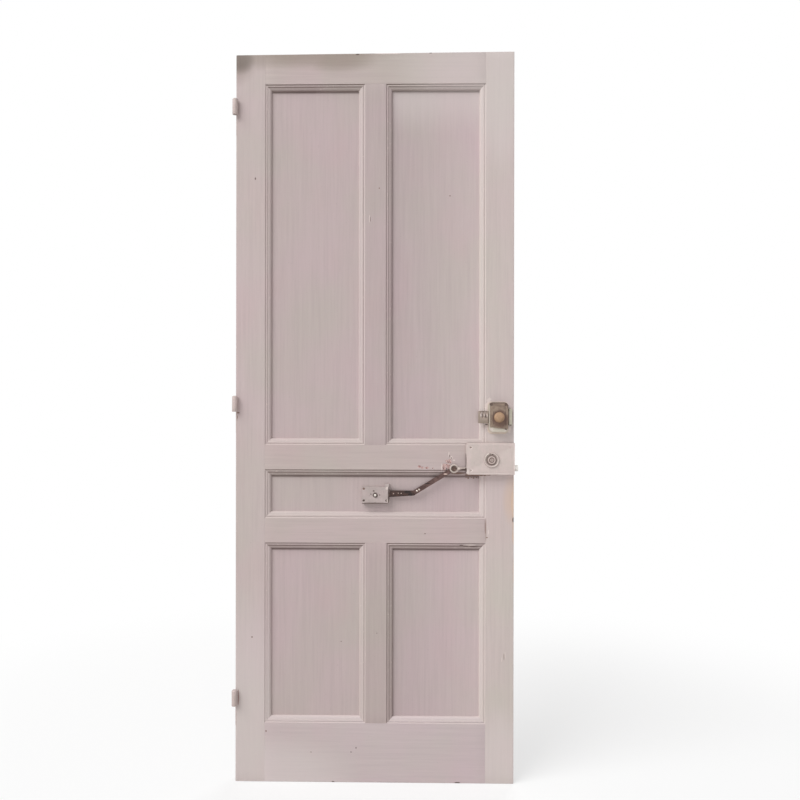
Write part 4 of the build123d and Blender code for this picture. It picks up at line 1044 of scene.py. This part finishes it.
# %% Rim lock
lock_axis = (334.5, 930.0)
lock_paint = painted_metal("lock_paint", (203, 188, 183), {
    # the long pale band along the case's lower edge is a painted highlight
    PALE: [(331, 891.5, 66, 1.6), (275.5, 966, 5, 5), (266.5, 896, 3.5, 9), (276, 901, 5.5, 4.5),
           (398, 930, 2, 40)],
    DARK: [(261.4, 926, 1.8, 24), (261.5, 902, 2.8, 8)]})
softened("lock_case", 1.8, lock_paint, 4)
softened("lock_back_plate", 0.5, lock_paint)
collar_profile = [(-42, 13.1), (-42, 22.0), (-43.6, 21.8), (-45.2, 20.9), (-45.95, 19.8), (-45.8, 19.0),
                  (-45.0, 18.0), (-43.8, 16.6), (-42.7, 15.3), (-42.4, 14.4), (-42.4, 13.1)]
# dirt and painted shade in the grooves between the rings
collar_dirt_and_shade = [1.3, 1.3, 0.6, 0.1, 0, 0, 0, 0.3, 0.8, 1.3, 1.4]
piece("collar_ring", [lathe(collar_profile, lock_axis, 96, collar_dirt_and_shade, ring_shut=True)], "cylinder_collar",
      painted_metal("collar_paint", (208, 194, 188), {
          SORE: [(353.5, 945, 1.6, 5)], DARK: [(329.5, 948.3, 2.4, 1.4), (337, 946, 2.2, 1.4)]}, worn=0.4))
room_profile = [(-35.4, 5.05), (-35.4, 13.0), (-43.2, 13.0), (-44.4, 12.4), (-46.2, 11.2), (-47.3, 10.0),
                (-47.5, 9.2), (-47.2, 8.3), (-46.2, 7.0), (-45.0, 5.9), (-44.8, 5.05)]
# dirt and painted shade in the grooves between the rings
room_dirt_and_shade = [0, 0.6, 1.3, 1.3, 0.7, 0, 0, 0.1, 0.9, 1.3, 1.3]
piece("room_cylinder_face", [lathe(room_profile, lock_axis, 80, room_dirt_and_shade, ring_shut=True)], "room_cylinder",
      painted_metal("cylinder_paint", (200, 185, 178), worn=0.8))
softened("cylinder_plug", 0.5, painted_metal("plug_paint", (180, 165, 157)))
lock_screw_places = ((274.5, 901.0, 0.5), (274.5, 966.0, 1.9), (387.5, 966.0, 1.1))
piece("lock_cap_screws", screws(lock_screw_places, -42, 3.5), "lock_screws",
      painted_metal("screw_paint", (200, 185, 180), {
          DRIP: [(275.5, 966, 3, 2), (276, 899.5, 2.4, 1.2)]}, worn=0.4))
softened("latch_bolt", 0.7, bare_metal("latch_steel", (204, 200, 196), (170, 164, 158), 0.3, 0.6))
softened("deadbolt", 0.5, steel)
softened("cylinder_cam", 0.3, steel)


def spring(start, end, y, z, radius, wire, turns, steps=24):
    """A coil about X: its line is (x, y + R cos a, z + R sin a), and a small circle runs along it."""
    share = np.linspace(0, 1, int(turns * steps) + 1)
    a = tau * turns * share
    radial = np.stack([0 * a, np.cos(a), np.sin(a)], -1)
    line = np.stack([start + wire + (end - start - 2 * wire) * share, y + radius * radial[:, 1],
                     z + radius * radial[:, 2]], -1)
    v = np.linspace(0, tau, 10, endpoint=False)
    axial = np.array([1.0, 0.0, 0.0])
    rings = line[:, None] + wire * (np.cos(v)[:, None] * radial[:, None] + np.sin(v)[:, None] * axial)
    return loft(rings * MM)


piece("latch_coil", [spring(264.0, 283.0, -32.0, 904.5, 5.6, 0.75, 11)], "latch_spring", steel)
print("rim lock")

# %% [markdown]
# The night bolt's case has a raised middle that carries the knob. Its bar is a flat plate
# with two long slots in its tail, and the keeper beside it is painted like the door.

# %% Night bolt
softened("night_case", 2.2, night_case_look(), 4)
softened("night_base_plate", 0.6, painted_metal("night_plate_paint", (212, 197, 183), worn=0.2))
softened("night_bar", 0.7, painted_metal("bar_paint", (160, 144, 132), {
    PALE: [(304.5, 1058, 2, 5), (314.5, 1058, 2, 4.5), (322, 1057, 1.2, 5)],
    DARK: [(313, 1067.2, 14, 1.5), (325.8, 1050, 1.6, 16), (309.3, 1055, 1.8, 6), (319.4, 1053, 1.4, 5)]},
    worn=1.4))
softened("night_keeper", 0.8, painted_metal("keeper_paint", (198, 191, 175), {
    # a painted shadow under the keeper
    DARK: [(388, 1029.5, 4, 1.4)]}, worn=0.8))
knob_profile = [(-48.4, ON_AXIS), (-48.4, 8.0), (-52.0, 8.2), (-53.5, 9.5), (-55.6, 12.6), (-57.2, 14.4),
                (-58.8, 14.95), (-60.6, 14.9), (-62.2, 14.2), (-63.8, 12.6), (-65.0, 10.0), (-65.8, 7.0),
                (-66.25, 3.6), (-66.4, ON_AXIS)]
knob_dirt = [1, 1, 1, 0.8, 0.5, 0.2, 0, 0, 0, 0, 0, 0, 0, 0]
piece("night_knob_turned", [lathe(knob_profile, (354.0, 1052.0), 64, knob_dirt, np.linspace(0, 0.5, 14))],
      "night_knob", bare_metal("knob_brass", (164, 132, 104), (140, 110, 84), 0.42, 0.3, 0.5))
night_screw_places = ((334, 1017, 0.3), (374, 1017, 1.2), (334, 1087, 2.1), (374, 1087, 2.7))
piece("night_screw_set", screws(night_screw_places, -45, 39), "night_screws",
      painted_metal("night_screw_paint", (96, 76, 66), {
          PALE: [(334, 1017, 5, 5), (373, 1013.5, 4, 3)]}, worn=0.3))
print("night bolt")

# %% [markdown]
# Lift-off hinges sit in the left edge, painted with it. On the street side there is a brass
# knob on its rose, and the outer half of the lock cylinder with a rose of its own.

# %% Hinges and street side
edge_screws = []
left_edge, screw_margin, screw_length, zigzag = -400, 14, 14, (-11, 6, -11, 6)
for name, (bottom, top) in hinge_spans.items():
    softened(name, 0.8, iron_paint)
    lowest, highest = bottom / MM + screw_margin, top / MM - screw_margin
    for k, (across, up) in enumerate(zip(zigzag, np.linspace(lowest, highest, 4))):
        slot_turn = 0.7 * k + lowest
        edge_screws += screw((across, up), left_edge, screw_length, slot_turn, "edge")
piece("hinge_screw_set", edge_screws, "hinge_screws",
      painted_metal("hinge_screw_paint", (186, 170, 165), worn=1.5))
street_stem = [(11.4, ON_AXIS), (11.4, 11.0), (31.4, 11.0), (33.0, 12.2)]
belly_y, belly_radius, round_radius, street_front = 52.4, 21, 9, 73.4
rim_turn = np.linspace(0, radians(68), 9)
street_rim = np.stack([belly_y + round_radius * np.sin(rim_turn),
                       belly_radius + round_radius * np.cos(rim_turn)], 1)
rim_y, rim_radius = street_rim[-1]
share = np.linspace(0, 1, 10)[1:]
street_dome = np.stack([rim_y + (street_front - rim_y) * np.sin(share * pi / 2),
                        rim_radius * (1 - share) + ON_AXIS], 1)
street_profile = np.concatenate([street_stem, street_rim, street_dome])
piece("street_knob_turned", [lathe(street_profile, draw_axis, 96)], "street_knob", brass)
rose_profile = [(8.0, 5.1), (8.0, 28.0), (9.4, 28.0), (10.3, 27.2), (10.8, 25.8), (10.5, 24.4), (10.6, 23.0),
                (11.0, 21.5), (11.0, 5.1)]
rose_dirt = [0.5, 0.4, 0, 0, 0, 0.9, 0.5, 0, 0.6]
piece("street_rose_turned", [lathe(rose_profile, draw_axis, 80, rose_dirt, ring_shut=True)],
      "street_rose", brass)
outer_profile = [(20, 13.1), (20, 22.0), (22.4, 22.0), (23.5, 21.2), (24.0, 19.8), (24.0, 15.0), (23.6, 13.1)]
outer_dirt = [0.4, 0.4, 0, 0, 0, 0.3, 1]
piece("street_cylinder_collar", [lathe(outer_profile, lock_axis, 80, outer_dirt, ring_shut=True)],
      "street_cylinder_rose", brass)
softened("street_cylinder", 0.4, brass)
for node in ("draw_crank", "night_shaft", "night_crank", "lock_fixing_screws"):
    repaint(node, steel)
print("hinges and street side")
